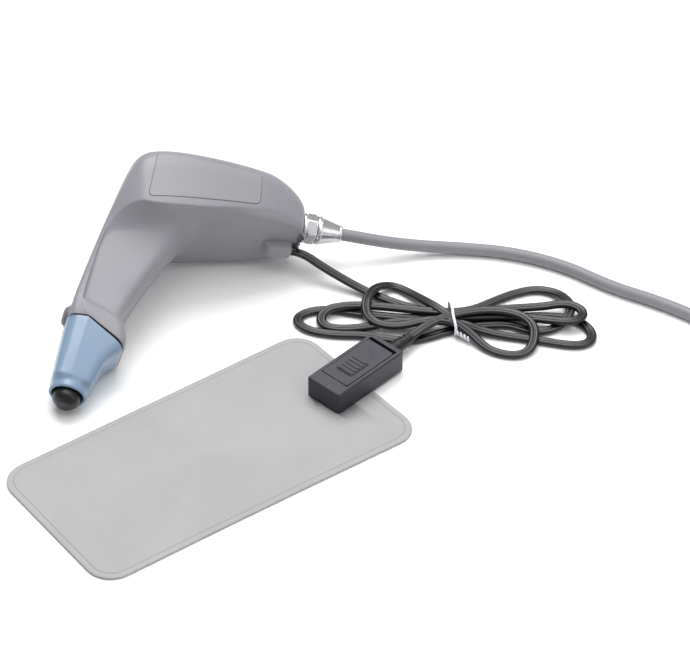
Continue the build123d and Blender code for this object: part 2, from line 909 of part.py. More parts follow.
near_left = (tie_centre[0] - waist / 2, tie_centre[1] - tie_width / 2)
far_left = (tie_centre[0] - waist / 2, tie_centre[1] + tie_width / 2)
near_right = (tie_centre[0] + waist / 2, tie_centre[1] - tie_width / 2)
far_right = (tie_centre[0] + waist / 2, tie_centre[1] + tie_width / 2)
with BuildPart() as lead_hank:
    with BuildSketch(Plane.XY.offset(floor_gap)):
        with BuildLine():
            Polyline(
                far_left, (122, 123), (108, 138), (98, 141), (88, 134), (74, 125), (50, 122),
                (43, 114), (43, 106), (54, 98.5), (92, 97.5), (112, 99.5), near_left,
                near_right, (140, 90), (152, 78), (168, 73.5), (178, 80), (200, 83), (210, 90),
                (212, 101), (202, 113), (198, 128), (182, 139), (165, 134), (148, 122), far_right,
                close=True,
            )
        make_face()
    extrude(amount=hank_height)
write("lead_hank", lead_hank)

TIE = Plane(
    origin=(tie_centre[0] - tie_strip / 2, tie_centre[1], tie_middle_height),
    x_dir=(0, 1, 0),
    z_dir=(1, 0, 0),
)
with BuildPart() as twist_tie:
    with BuildSketch(TIE):
        RectangleRounded(tie_width + 2.6, hank_height + 1.2, 3.0)
        RectangleRounded(tie_width + 1.0, hank_height - 0.4, 2.4, mode=Mode.SUBTRACT)
    extrude(amount=tie_strip)
    with BuildSketch(Plane.XY.offset(1.0)):
        with Locations((tie_centre[0] + tie_end_shift[0], near_right[1] + tie_end_shift[1])):
            Rectangle(*tie_end_size, rotation=tie_end_turn)
    extrude(amount=tie_end_thickness)
write("twist_tie", twist_tie)

# ---------------------------------------------------------------- plug
heading = math.radians(plug_heading)
PLUG = Plane(
    origin=tail_route[-1],
    x_dir=(math.sin(heading), -math.cos(heading), 0),
    z_dir=(math.cos(heading), math.sin(heading), 0),
)
shell_far = plug_boot_length + plug_shell_length
insert_seat = 6.0
insert_start = shell_far - insert_seat
spigot_start = shell_far + insert_clear
insert_far = spigot_start + insert_length

with BuildPart() as plug_boot:
    with BuildSketch(PLUG):
        Circle(plug_boot_small)
    with BuildSketch(PLUG.offset(plug_boot_length)):
        Circle(plug_shell_radius - 1.6)
    loft()
write("plug_boot", plug_boot)

with BuildPart() as plug_shell:
    with BuildSketch(PLUG.offset(plug_boot_length)):
        Circle(plug_shell_radius)
    extrude(amount=plug_shell_length - coupling_length)
    with BuildSketch(PLUG.offset(shell_far - coupling_length)):
        Circle(coupling_bore - running_gap)
    extrude(amount=coupling_length)
    with BuildSketch(PLUG.offset(insert_start)):
        Circle(insert_neck_radius + running_gap)
    extrude(amount=insert_seat, mode=Mode.SUBTRACT)
write("plug_shell", plug_shell)

with BuildPart() as coupling_ring:
    with BuildSketch(PLUG.offset(shell_far - coupling_length + running_gap)):
        Circle(coupling_radius)
        Circle(coupling_bore, mode=Mode.SUBTRACT)
        with PolarLocations(coupling_radius + 0.2, 24):
            Rectangle(1.0, 0.9, mode=Mode.SUBTRACT)
    extrude(amount=coupling_length + 2.0)
write("coupling_ring", coupling_ring)

with BuildPart() as plug_insert:
    with BuildSketch(PLUG.offset(insert_start)):
        Circle(insert_neck_radius)
    extrude(amount=spigot_start - insert_start)
    with BuildSketch(PLUG.offset(spigot_start)):
        Circle(insert_radius)
    extrude(amount=insert_length)
    with BuildSketch(PLUG.offset(insert_start)):
        with PolarLocations(contact_circle, contact_count):
            Circle(contact_radius)
    extrude(amount=insert_far - insert_start, mode=Mode.SUBTRACT)
write("plug_insert", plug_insert)

with BuildPart() as plug_contacts:
    with BuildSketch(PLUG.offset(insert_start)):
        with PolarLocations(contact_circle, contact_count):
            Circle(contact_radius)
    extrude(amount=insert_far - insert_start - 0.5)
write("plug_contacts", plug_contacts)

# ---------------------------------------------------------------- pad
pad_top = conductor_thickness + backing_thickness
slot_place = (pad_length / 2 - slot_from_edge, slot_offset)


def pad_cuts(plane, amount):
    """Obround slot near the short edge, and the notch from it to that edge for the jaw."""
    with BuildPart() as cuts:
        with BuildSketch(plane):
            with Locations(slot_place):
                SlotOverall(slot_length, slot_width, rotation=90)
        extrude(amount=amount)
        with BuildSketch(CLAMP):
            with Locations((40, 0)):
                Rectangle(80, 2 * notch_half_width)
        extrude(amount=amount)
    return cuts.part


with BuildPart() as pad_conductor:
    with BuildSketch(PAD):
        RectangleRounded(
            pad_length - 2 * border_width, pad_width - 2 * border_width, pad_corner - border_width
        )
    extrude(amount=conductor_thickness)
    add(pad_cuts(PAD, 5), mode=Mode.SUBTRACT)
write("pad_conductor", pad_conductor)

with BuildPart() as pad_border:
    with BuildSketch(PAD):
        RectangleRounded(pad_length, pad_width, pad_corner)
        RectangleRounded(
            pad_length - 2 * border_width,
            pad_width - 2 * border_width,
            pad_corner - border_width,
            mode=Mode.SUBTRACT,
        )
    extrude(amount=conductor_thickness)
    add(pad_cuts(PAD, 5), mode=Mode.SUBTRACT)
write("pad_border", pad_border)

with BuildPart() as pad_backing:
    with BuildSketch(PAD.offset(conductor_thickness)):
        RectangleRounded(pad_length, pad_width, pad_corner)
    extrude(amount=backing_thickness)
    add(pad_cuts(PAD, 5), mode=Mode.SUBTRACT)
write("pad_backing", pad_backing)

# ---------------------------------------------------------------- clamp
clamp_middle = (clamp_length / 2, 0)
recess_floor = clamp_height - lever_thickness + lever_proud - lever_gap
PIN = Plane(
    origin=CLAMP.from_local_coords((pin_at, 0, pin_height)),
    x_dir=CLAMP.x_dir,
    z_dir=CLAMP.y_dir,
)
jaw_top = pad_top + jaw_gap

with BuildPart() as clamp_base:
    with BuildSketch(CLAMP):
        with Locations(clamp_middle):
            RectangleRounded(clamp_length - 2 * clamp_wall - 0.4, 2 * base_half_width, 1.5)
        with Locations(*clamp_screw_spots):
            Circle(clamp_screw_radius + 0.35, mode=Mode.SUBTRACT)
    extrude(amount=base_thickness)
    with BuildSketch(CLAMP):
        with Locations(*clamp_screw_spots):
            Circle(clamp_screw_head_radius + 0.2)
    extrude(amount=clamp_screw_head + 0.3, mode=Mode.SUBTRACT)
write("clamp_base", clamp_base)

with BuildPart() as clamp_housing:
    with BuildSketch(CLAMP.offset(jaw_top)):
        with Locations(clamp_middle):
            RectangleRounded(clamp_length, clamp_width, 2.0)
    extrude(amount=clamp_height - jaw_top)
    chamfer(clamp_housing.faces().sort_by(Axis.Z)[-1].edges(), 0.8)
    with BuildSketch(CLAMP.offset(jaw_top)):
        with Locations(clamp_middle):
            Rectangle(clamp_length - 2 * clamp_wall, clamp_width - 2 * clamp_wall)
    extrude(amount=recess_floor - 2.0 - jaw_top, mode=Mode.SUBTRACT)
    with BuildSketch(CLAMP.offset(base_thickness)):
        with Locations(*clamp_screw_spots):
            Circle(clamp_boss_radius)
    extrude(amount=recess_floor - 1.0 - base_thickness)
    with BuildSketch(CLAMP.offset(base_thickness)):
        with Locations(*clamp_screw_spots):
            Circle(clamp_screw_radius + running_gap)
    extrude(amount=6.0, mode=Mode.SUBTRACT)
    # Recess for the lever, deeper where its barrel turns.
    with BuildSketch(CLAMP.offset(recess_floor)):
        with Locations(((lever_start + lever_recess_end) / 2, 0)):
            Rectangle(lever_recess_end - lever_start, 2 * (lever_half_width + lever_gap))
    extrude(amount=6, mode=Mode.SUBTRACT)
    with BuildSketch(CLAMP.offset(pin_height - barrel_radius - 0.5)):
        with Locations((pin_at + barrel_recess_shift, 0)):
            Rectangle(barrel_recess, 2 * (lever_half_width + lever_gap))
    extrude(amount=6, mode=Mode.SUBTRACT)
    with BuildSketch(PIN.offset(-clamp_width / 2 + 0.6)):
        Circle(pin_radius + running_gap)
    extrude(amount=clamp_width - 1.2, mode=Mode.SUBTRACT)
write("clamp_housing", clamp_housing)

lever_top = clamp_height + lever_proud
lever_under = lever_top - lever_thickness
with BuildPart() as clamp_lever:
    with BuildSketch(CLAMP.offset(lever_under)):
        with Locations(((lever_start + lever_gap + lever_end) / 2, 0)):
            RectangleRounded(lever_end - lever_start - lever_gap, 2 * lever_half_width, 1.0)
    extrude(amount=lever_thickness)
    with BuildSketch(PIN.offset(-lever_half_width)):
        Circle(barrel_radius)
    extrude(amount=2 * lever_half_width)
    with BuildSketch(PIN.offset(-lever_half_width)):
        Circle(pin_radius + running_gap)
    extrude(amount=2 * lever_half_width, mode=Mode.SUBTRACT)
    with BuildSketch(CLAMP.offset(lever_top - 0.5)):
        with Locations((thumb_at, 0)):
            Rectangle(thumb_size[0] + 0.1, thumb_size[1] + 0.1)
    extrude(amount=1.0, mode=Mode.SUBTRACT)
write("clamp_lever", clamp_lever)

rib_step = thumb_size[0] / rib_count
rib_places = [
    (thumb_at + (i - (rib_count - 1) / 2) * rib_step, 0) for i in range(rib_count)
]
with BuildPart() as lever_thumb_pad:
    with BuildSketch(CLAMP.offset(lever_top - 0.5)):
        with Locations((thumb_at, 0)):
            Rectangle(thumb_size[0], thumb_size[1])
    extrude(amount=thumb_size[2])
    with BuildSketch(CLAMP.offset(lever_top - 0.5 + thumb_size[2])):
        with Locations(*rib_places):
            Rectangle(rib_step / 2, thumb_size[1] - 1.6)
    extrude(amount=0.4)
write("lever_thumb_pad", lever_thumb_pad)

with BuildPart() as lever_pin:
    with BuildSketch(PIN.offset(-clamp_width / 2 + 0.8)):
        Circle(pin_radius)
    extrude(amount=clamp_width - 1.6)
write("lever_pin", lever_pin)

with BuildPart() as clamp_contacts:
    with BuildSketch(CLAMP.offset(base_thickness)):
        with Locations((contact_place[0], -contact_place[1]), contact_place):
            RectangleRounded(*contact_size, 1.0)
    extrude(amount=contact_thickness)
write("clamp_contacts", clamp_contacts)

with BuildPart() as clamp_screws:
    with BuildSketch(CLAMP.offset(0.2)):
        with Locations(*clamp_screw_spots):
            Circle(clamp_screw_head_radius)
    extrude(amount=clamp_screw_head)
    with BuildSketch(CLAMP.offset(0.2 + clamp_screw_head)):
        with Locations(*clamp_screw_spots):
            Circle(clamp_screw_radius)
    extrude(amount=clamp_screw_length)
write("clamp_screws", clamp_screws)

RELIEF = Plane(
    origin=CLAMP.from_local_coords((clamp_length, 0, relief_height)),
    x_dir=CLAMP.y_dir,
    z_dir=CLAMP.x_dir,
)
with BuildPart() as clamp_strain_relief:
    with BuildSketch(RELIEF):
        Circle(relief_wide)
    with BuildSketch(RELIEF.offset(relief_length)):
        Circle(relief_narrow)
    loft()
    with BuildSketch(RELIEF.offset(relief_length)):
        SlotOverall(lead_width + 0.3, lead_depth + 0.3)
    extrude(amount=-3.0, mode=Mode.SUBTRACT)
write("clamp_strain_relief", clamp_strain_relief)
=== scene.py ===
"""Looks of the treatment handpiece, its hose and lead, the lever clamp and the return pad.

Everything is in metres in the row frame; sizes below are written in millimetres and
turned into metres by MM when a mesh is made.
"""

import json
import math

import bmesh
import bpy
import numpy as np
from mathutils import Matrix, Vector

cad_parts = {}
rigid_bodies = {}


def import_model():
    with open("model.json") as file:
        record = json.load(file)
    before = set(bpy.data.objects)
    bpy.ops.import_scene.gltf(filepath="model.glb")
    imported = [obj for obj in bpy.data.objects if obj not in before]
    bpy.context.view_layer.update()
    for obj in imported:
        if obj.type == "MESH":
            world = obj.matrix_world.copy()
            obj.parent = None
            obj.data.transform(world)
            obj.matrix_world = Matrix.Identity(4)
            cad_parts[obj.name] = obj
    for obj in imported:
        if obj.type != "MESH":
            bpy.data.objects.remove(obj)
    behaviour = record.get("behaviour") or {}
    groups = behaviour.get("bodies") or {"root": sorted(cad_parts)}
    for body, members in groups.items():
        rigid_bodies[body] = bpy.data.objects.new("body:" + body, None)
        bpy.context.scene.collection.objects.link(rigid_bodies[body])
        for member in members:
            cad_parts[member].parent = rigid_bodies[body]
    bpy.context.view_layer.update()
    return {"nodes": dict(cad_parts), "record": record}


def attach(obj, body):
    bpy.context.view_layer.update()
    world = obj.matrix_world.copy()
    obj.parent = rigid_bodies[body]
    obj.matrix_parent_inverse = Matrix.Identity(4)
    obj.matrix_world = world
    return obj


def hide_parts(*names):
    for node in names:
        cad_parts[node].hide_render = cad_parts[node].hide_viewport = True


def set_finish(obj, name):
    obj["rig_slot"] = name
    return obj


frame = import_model()

MM = 0.001

# ------------------------------------------------------------------ frames
HAND_ORIGIN = np.array([-78.05, 30.87, 8.8])
HAND_ALONG = np.array([0.9701, 0.0275, -0.2413])
HAND_UP = np.array([0.2370, -0.3242, 0.9158])
LEAN = math.radians(8.82)
NECK_AXIS = np.array([math.sin(LEAN), math.cos(LEAN)])
NECK_ACROSS = np.array([math.cos(LEAN), -math.sin(LEAN)])
CLAMP_ORIGIN = np.array([61.0, 38.0])
CLAMP_TURN = math.radians(46.5)
PAD_HALF = (100.0, 51.5)
PAD_TURN = math.radians(36.7)
PAD_DRAWN = 5.0
PAD_DRIFT = 1.1


def unit(vector):
    """The vector over its length."""
    return vector / np.linalg.norm(vector)


HAND_ALONG = unit(HAND_ALONG)
HAND_PALM = unit(np.cross(HAND_UP, HAND_ALONG))
HAND_UP = np.cross(HAND_ALONG, HAND_PALM)


def from_handpiece(points):
    """Handpiece frame (along, palm, upper cheek) to the row frame: origin plus each part
    times its direction."""
    points = np.asarray(points, float)
    return HAND_ORIGIN + points @ np.stack([HAND_ALONG, HAND_PALM, HAND_UP])


def from_neck(station, across, height):
    """Neck terms to the handpiece frame: station times the axis plus across times the
    crosswise direction, with the height kept."""
    station, across, height = np.broadcast_arrays(station, across, height)
    flat = station[..., None] * NECK_AXIS + across[..., None] * NECK_ACROSS
    return np.concatenate([flat, height[..., None]], -1).astype(float)


def turned(points, origin, angle):
    """Points of a frame turned about the vertical by an angle, set down at an origin."""
    points = np.asarray(points, float)
    c, s = math.cos(angle), math.sin(angle)
    x = origin[0] + points[..., 0] * c - points[..., 1] * s
    y = origin[1] + points[..., 0] * s + points[..., 1] * c
    return np.stack([x, y, points[..., 2]], -1)


def from_clamp(points):
    """Clamp frame to the row frame."""
    return turned(points, CLAMP_ORIGIN, CLAMP_TURN)


def from_pad(points):
    """Pad frame to the row frame. The limp pad lies a little askew: one near corner is drawn
    out by the square of the product of the shares along and across, and the whole sheet
    drifts a little, most at its near edge."""
    points = np.asarray(points, float)
    along = 0.5 + points[..., 0] / (2 * PAD_HALF[0])
    near = 0.5 - points[..., 1] / (2 * PAD_HALF[1])
    laid = turned(points, (0.0, 0.0), PAD_TURN)
    laid[..., 0] += PAD_DRAWN * (along * near) ** 2 - PAD_DRIFT * (1 - along)
    laid[..., 1] -= PAD_DRIFT * (0.6 + 0.9 * near)
    return laid


# ------------------------------------------------------------------ mesh making
def add_mesh(name, points, faces):
    """A new object from points in millimetres and faces."""
    mesh = bpy.data.meshes.new(name)
    mesh.from_pydata((np.asarray(points) * MM).tolist(), [], faces)
    mesh.update()
    mesh.polygons.foreach_set("use_smooth", np.ones(len(mesh.polygons), bool))
    piece = bpy.data.objects.new(name, mesh)
    bpy.context.scene.collection.objects.link(piece)
    return piece


def grid_faces(rows, columns, around, ends):
    """Quads of a grid, row by row. With around the last column joins the first; with ends
    the first and last rows are closed by one face each."""
    wide = columns if around else columns - 1
    r, c = np.meshgrid(np.arange(rows - 1), np.arange(wide), indexing="ij")
    nxt = (c + 1) % columns
    quads = np.stack(
        [r * columns + c, r * columns + nxt, (r + 1) * columns + nxt, (r + 1) * columns + c], -1
    )
    faces = quads.reshape(-1, 4).tolist()
    if ends:
        faces.append(np.arange(columns)[::-1].tolist())
        faces.append((np.arange(columns) + (rows - 1) * columns).tolist())
    return faces


def skin(name, grid, around=True, ends=False, crease=40.0):
    """A surface from a grid of points (rows, columns, 3). Edges sharper than crease degrees
    stay sharp."""
    rows, columns = grid.shape[:2]
    piece = add_mesh(name, grid.reshape(-1, 3), grid_faces(rows, columns, around, ends))
    tidy_mesh(piece.data, crease)
    return piece


def tidy_mesh(mesh, crease):
    """Points that fall together are made one, and edges over the crease angle marked."""
    work = bmesh.new()
    work.from_mesh(mesh)
    bmesh.ops.remove_doubles(work, verts=work.verts, dist=2e-6)
    bmesh.ops.dissolve_degenerate(work, edges=work.edges, dist=1e-6)
    for edge in work.edges:
        if len(edge.link_faces) == 2 and edge.calc_face_angle(0.0) > math.radians(crease):
            edge.smooth = False
    work.to_mesh(mesh)
    work.free()


def outward(piece):
    """Turns the faces of a closed mesh outwards."""
    work = bmesh.new()
    work.from_mesh(piece.data)
    bmesh.ops.recalc_face_normals(work, faces=work.faces)
    work.to_mesh(piece.data)
    work.free()
    return piece


def spline_rows(stations, per_span):
    """Cubic B-spline through a list of stations: every row is the weighted mean of four
    neighbouring stations, and the end stations are repeated so that the ends are met."""
    stations = np.asarray(stations, float)
    first = np.repeat(stations[:1], 2, 0)
    last = np.repeat(stations[-1:], 2, 0)
    padded = np.concatenate([first, stations, last])
    spans = len(padded) - 3
    t = np.linspace(0, spans, spans * per_span + 1)
    index = np.minimum(t.astype(int), spans - 1)
    f = (t - index).reshape((-1,) + (1,) * (stations.ndim - 1))
    w = [(1 - f) ** 3, 3 * f**3 - 6 * f**2 + 4, -3 * f**3 + 3 * f**2 + 3 * f + 1, f**3]
    return sum(weight * padded[index + k] for k, weight in enumerate(w)) / 6


def rounded_lines(corners, cuts, straight, bend):
    """Lines through control points with every inner corner rounded. corners is (rows, points,
    3) and cuts (rows, points). A corner is a parabola from one cut before it to one cut
    after it; between corners the line is straight."""
    step = np.diff(corners, axis=1)
    length = np.linalg.norm(step, axis=2)
    way = step / np.maximum(length, 1e-9)[..., None]
    points = corners.shape[1]
    room = np.minimum(length[:, :-1], length[:, 1:]) * 0.48
    cut = np.minimum(cuts[:, 1:-1], room)[..., None]
    before = corners[:, 1:-1] - way[:, :-1] * cut
    after = corners[:, 1:-1] + way[:, 1:] * cut
    line = []
    start = corners[:, 0]
    f = np.linspace(0, 1, straight + 1)[None, :-1, None]
    g = np.linspace(0, 1, bend + 1)[None, :-1, None]
    for k in range(points - 2):
        a, p, b = before[:, k, None], corners[:, k + 1, None], after[:, k, None]
        line.append(start[:, None] * (1 - f) + a * f)
        line.append(a * (1 - g) ** 2 + 2 * p * g * (1 - g) + b * g**2)
        start = after[:, k]
    line.append(start[:, None] * (1 - f) + corners[:, -1, None] * f)
    line.append(corners[:, -1, None])
    return np.concatenate(line, 1)


def mirrored_ring(half):
    """A closed ring from its upper half: the half, then its mirror image below."""
    lower = half[:, -2:0:-1].copy()
    lower[..., 2] *= -1
    return np.concatenate([half, lower], 1)


def lathe(name, profile, place, turns=64, crease=35.0):
    """Surface of revolution: each (distance along, radius) of the profile carried round a
    circle. place turns (across, across, along) points into the row frame."""
    profile = np.asarray(profile, float)
    angle = np.linspace(0, 2 * math.pi, turns, endpoint=False)
    x = profile[:, 1, None] * np.cos(angle)
    y = profile[:, 1, None] * np.sin(angle)
    z = np.broadcast_to(profile[:, 0, None], x.shape)
    grid = place(np.stack([x, y, z], -1))
    return outward(skin(name, grid, crease=crease))


def softened(profile, cut=0.25, bend=4):
    """A lathe profile with its inner corners rounded by a cut."""
    corners = np.asarray(profile, float)[None]
    corners = np.concatenate([corners, np.zeros_like(corners[..., :1])], -1)
    cuts = np.full(corners.shape[:2], cut)
    return rounded_lines(corners, cuts, 1, bend)[0, :, :2]


# ------------------------------------------------------------------ cords
def nurbs_line(name, points):
    """The smooth line of a cord's route: a NURBS spline with the points as its control
    points, read back as closely spaced points in millimetres."""
    curve = bpy.data.curves.new(name, "CURVE")
    curve.dimensions = "3D"
    curve.resolution_u = 10
    spline = curve.splines.new("NURBS")
    spline.points.add(len(points) - 1)
    flat = np.concatenate([np.asarray(points, float) * MM, np.ones((len(points), 1))], 1)
    spline.points.foreach_set("co", flat.ravel())
    spline.order_u = 3
    spline.use_endpoint_u = True
    holder = bpy.data.objects.new(name, curve)
    bpy.context.scene.collection.objects.link(holder)
    read = bpy.data.meshes.new_from_object(holder)
    line = np.zeros(len(read.vertices) * 3)
    read.vertices.foreach_get("co", line)
    bpy.data.objects.remove(holder)
    bpy.data.curves.remove(curve)
    bpy.data.meshes.remove(read)
    return line.reshape(-1, 3) / MM


def swept(name, line, section):
    """A section carried along a line: at every point of the line the section's first axis is
    level and square to the line, its second axis square to both. Ends are closed. The UV map
    holds the distance along the line and the way round the section, in metres."""
    tangent = np.gradient(line, axis=0)
    tangent /= np.linalg.norm(tangent, axis=1)[:, None]
    level = np.cross([0.0, 0.0, 1.0], tangent)
    level /= np.linalg.norm(level, axis=1)[:, None]
    rise = np.cross(tangent, level)
    section = np.asarray(section, float)
    grid = (
        line[:, None]
        + section[None, :, :1] * level[:, None]
        + section[None, :, 1:] * rise[:, None]
    )
    rows, columns = grid.shape[:2]
    piece = add_mesh(name, grid.reshape(-1, 3), grid_faces(rows, columns, True, True))
    run = np.concatenate([[0], np.cumsum(np.linalg.norm(np.diff(line, axis=0), axis=1))])
    girth = np.linalg.norm(np.roll(section, -1, 0) - section, axis=1)
    around = np.concatenate([[0], np.cumsum(girth)])
    r, c = np.meshgrid(np.arange(rows - 1), np.arange(columns), indexing="ij")
    along = np.stack([run[r], run[r], run[r + 1], run[r + 1]], -1)
    across = np.stack([around[c], around[c + 1], around[c + 1], around[c]], -1)
    uv = np.stack([along, across], -1).reshape(-1, 2) * MM
    layer = piece.data.uv_layers.new(name="UVMap")
    whole = np.zeros((len(piece.data.loops), 2))
    whole[: len(uv)] = uv
    layer.data.foreach_set("uv", whole.ravel())
    return outward(piece)


HOSE_RADIUS = 3.5
HOSE_ROUTE = [
    (65.09, 165.50, 19.41),
    (80.61, 165.94, 15.55),
    (97.0, 167.3, 10.8),
    (117.0, 169.8, 6.1),
    (140.0, 170.6, 3.9),
    (168.0, 167.0, 3.7),
    (198.0, 155.0, 3.7),
    (223.0, 136.0, 3.7),
    (247.0, 124.0, 3.7),
    (269.0, 110.0, 3.7),
]
TAIL_ROUTE = [
    (361.3, 107.9, 16.0),
    (369.8, 125.9, 12.5),
    (373.3, 143.9, 10.0),
    (374.8, 157.9, 9.7),
]
COIL_CENTRE = (317.3, 121.9)
COIL_IN_ANGLE = 226.9
COIL_OUT_ANGLE = 315.0
COIL_WIDE = 41.0
COIL_NARROW = 34.0
COIL_FLOOR = 3.7
COIL_STEP = 7.0
COIL_TURNS = 5
COIL_POINTS = 16
COIL_SHRINK = 0.981
COIL_SHIFT = 60.0


def coil_points():
    """Turns of the put-away hose: circles of the wide and the narrow radius in turn, each
    change of radius or layer spread over the last part of the turn before it."""
    total = 360.0 * COIL_TURNS + COIL_OUT_ANGLE - COIL_IN_ANGLE
    count = int(total / 360.0 * COIL_POINTS)
    sweep = np.linspace(0, total, count)
    stops = np.concatenate([[0.0], np.repeat(np.arange(1, COIL_TURNS + 1) * 360.0, 2)])
    stops[1::2] -= COIL_SHIFT
    stops = np.append(stops, total)
    radii = [COIL_WIDE, COIL_NARROW, COIL_NARROW, COIL_WIDE, COIL_NARROW, COIL_WIDE]
    layers = [0, 0, 1, 1, 2, 2]
    radius = np.interp(sweep, stops, np.repeat(radii, 2)) / COIL_SHRINK
    height = np.interp(sweep, stops, COIL_FLOOR + COIL_STEP * np.repeat(layers, 2))
    angle = np.radians(COIL_IN_ANGLE + sweep)
    x = COIL_CENTRE[0] + radius * np.cos(angle)
    y = COIL_CENTRE[1] + radius * np.sin(angle)
    return np.stack([x, y, height], -1)


round_angle = np.linspace(0, 2 * math.pi, 20, endpoint=False)
hose_section = HOSE_RADIUS * np.stack([np.cos(round_angle), np.sin(round_angle)], -1)
hose_line = nurbs_line("hose_route", np.concatenate([HOSE_ROUTE, coil_points(), TAIL_ROUTE]))
hose_cord = swept("hose_cord", hose_line, hose_section)
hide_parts("hose", "hose_coil", "hose_tail")
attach(hose_cord, "set")
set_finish(hose_cord, "hose_grey")

LEAD_WIDTH = 5.6
LEAD_CORE = 1.5
LEAD_ROUTE = [
    # out of the port and down to the tie
    (43.7, 152.9, 15.9), (50.0, 151.8, 14.8), (58.0, 147.0, 11.5), (70.0, 140.5, 7.2),
    (86.0, 132.5, 2.6), (103.0, 123.0, 1.8), (118.0, 117.0, 1.8), (131.0, 115.6, 1.8),
    # far right loop
    (145.0, 118.0, 1.8), (157.0, 126.0, 1.8), (169.0, 133.0, 1.8), (181.0, 136.5, 1.8),
    (191.5, 133.0, 2.4), (197.5, 124.5, 4.4), (199.5, 116.0, 4.9), (197.5, 108.5, 4.6),
    (191.0, 102.0, 2.2), (182.0, 99.0, 1.8), (174.0, 100.5, 1.8), (164.0, 105.5, 1.8),
    (148.0, 104.5, 1.8), (132.0, 100.4, 1.8),
    # long left loop
    (120.0, 94.6, 1.8), (109.0, 91.0, 1.7), (97.0, 92.6, 1.7), (84.0, 96.4, 1.8),
    (68.0, 96.4, 1.8), (54.0, 99.6, 1.8), (47.0, 105.6, 1.8), (46.6, 112.0, 1.8),
    (54.0, 117.4, 1.8), (65.0, 118.5, 1.8), (80.0, 115.0, 1.8), (100.0, 111.5, 1.8),
    (117.0, 110.5, 1.8), (132.0, 110.2, 1.8),
    # long right loop
    (151.0, 111.0, 1.8), (174.0, 112.5, 1.8), (192.0, 112.5, 1.8), (204.5, 108.0, 1.8),
    (210.5, 99.0, 1.8), (209.5, 90.5, 1.8), (202.5, 87.2, 1.8), (193.0, 88.4, 1.8),
    (178.0, 92.4, 1.8), (161.0, 95.6, 1.8), (148.0, 99.0, 3.0), (140.0, 102.0, 4.9),
    (132.0, 104.4, 4.9),
    # short left loop
    (116.0, 105.0, 4.9), (100.0, 104.4, 4.6), (86.0, 102.0, 2.8), (72.0, 101.0, 2.1),
    (62.5, 103.0, 2.0), (59.0, 108.5, 2.2), (62.0, 115.0, 4.6), (72.0, 118.0, 5.0),
    (85.0, 118.6, 4.8), (101.0, 116.4, 4.8), (117.0, 113.8, 4.8), (132.0, 112.2, 4.9),
    # folded right loop
    (150.0, 113.6, 4.9), (166.0, 115.8, 4.8), (184.0, 117.4, 4.8), (196.0, 118.0, 6.8),
    (203.8, 115.0, 6.2), (206.2, 109.4, 6.0), (203.0, 103.8, 6.2), (195.0, 102.4, 6.4),
    (184.0, 106.0, 4.8), (166.0, 109.6, 4.8), (150.0, 108.8, 4.9), (132.0, 107.8, 4.9),
    # upright left loop
    (124.5, 115.0, 6.2), (117.0, 123.6, 4.6), (109.2, 132.6, 2.4), (101.5, 138.8, 2.0),
    (93.5, 136.0, 4.8), (88.0, 128.0, 7.8), (84.5, 118.0, 8.0), (85.0, 108.5, 5.6),
    (92.0, 101.5, 4.9), (104.0, 100.0, 4.9), (118.0, 102.5, 7.6), (132.0, 102.4, 7.9),
    # lower right loop
    (142.0, 95.5, 5.0), (151.0, 84.5, 2.0), (160.0, 79.8, 1.8), (169.0, 78.8, 1.8),
    (175.6, 83.0, 2.4), (178.0, 90.5, 5.0), (178.0, 98.5, 6.4), (172.5, 106.0, 7.8),
    (160.0, 110.5, 8.0), (146.0, 110.0, 8.0), (133.0, 106.6, 8.0),
    # away to the clamp
    (123.5, 101.6, 8.0), (116.0, 95.6, 7.4), (110.3, 90.0, 6.6), (106.5, 86.2, 6.5),
]
lead_line = nurbs_line("lead_route", LEAD_ROUTE)
core_angle = np.linspace(-0.78 * math.pi, 0.78 * math.pi, 11)
core = LEAD_CORE * np.stack([np.cos(core_angle), np.sin(core_angle)], -1)
right_core = core + [LEAD_WIDTH / 2 - LEAD_CORE, 0]
lead_section = np.concatenate([right_core, -right_core])
lead_cord = swept("lead_cord", lead_line, lead_section)
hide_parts("lead_tube", "lead_hank", "clamp_lead_tube")
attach(lead_cord, "set")
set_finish(lead_cord, "lead_black")

# ------------------------------------------------------------------ handle
# Flat inner face of the body: where it starts and ends, each (along, across).
INNER_FACE_START = (40.0, 116.8)
INNER_FACE_END = (122.0, 127.5)
INNER_FACE_SLOPE = (INNER_FACE_END[1] - INNER_FACE_START[1]) / (
    INNER_FACE_END[0] - INNER_FACE_START[0]
)
# How much deeper the lower cheek is than the upper one, and where that fades out.
LOWER_SIDE = 1.075
LOWER_FADE_START = 95.0
LOWER_FADE_LENGTH = 25.0
REAR_MIDDLE = 137.5
# Shares of the ridge's height where the flat inner face has its corners.
FLAT_OUTER = 0.86
FLAT_INNER = 0.43
RIDGE_CUT = 0.9


def inner_face_y(x):
    """Height of the flat inner face over the length of the body."""
    return INNER_FACE_START[1] + (x - INNER_FACE_START[0]) * INNER_FACE_SLOPE


def body_station(x, top, half, cut, ridge_gap):
    """Section square to the body: palm edge, palm corner, ridge and flat inner face."""
    low = inner_face_y(x)
    ridge = half - 3.0 * min(1.0, half / 30.0)
    return (
        [(x, top, 0), (x, top, half), (x, low + ridge_gap, ridge),
         (x, low, ridge * FLAT_OUTER), (x, low, ridge * FLAT_INNER), (x, low, 0)],
        [0, cut, RIDGE_CUT, 4, 4, 0],
    )


def neck_station(outer, ridge, foot, inner):
    """Section of the neck in its own terms: each entry is (station, across, height)."""
    ends = [(outer[0], outer[1], 0), outer[:3], ridge[:3], foot[:3], inner[:3]]
    ends.append((inner[0], inner[1], 0))
    points = [tuple(from_neck(*end)) for end in ends]
    return points, [0, outer[3], ridge[3], foot[3], inner[3], 0]


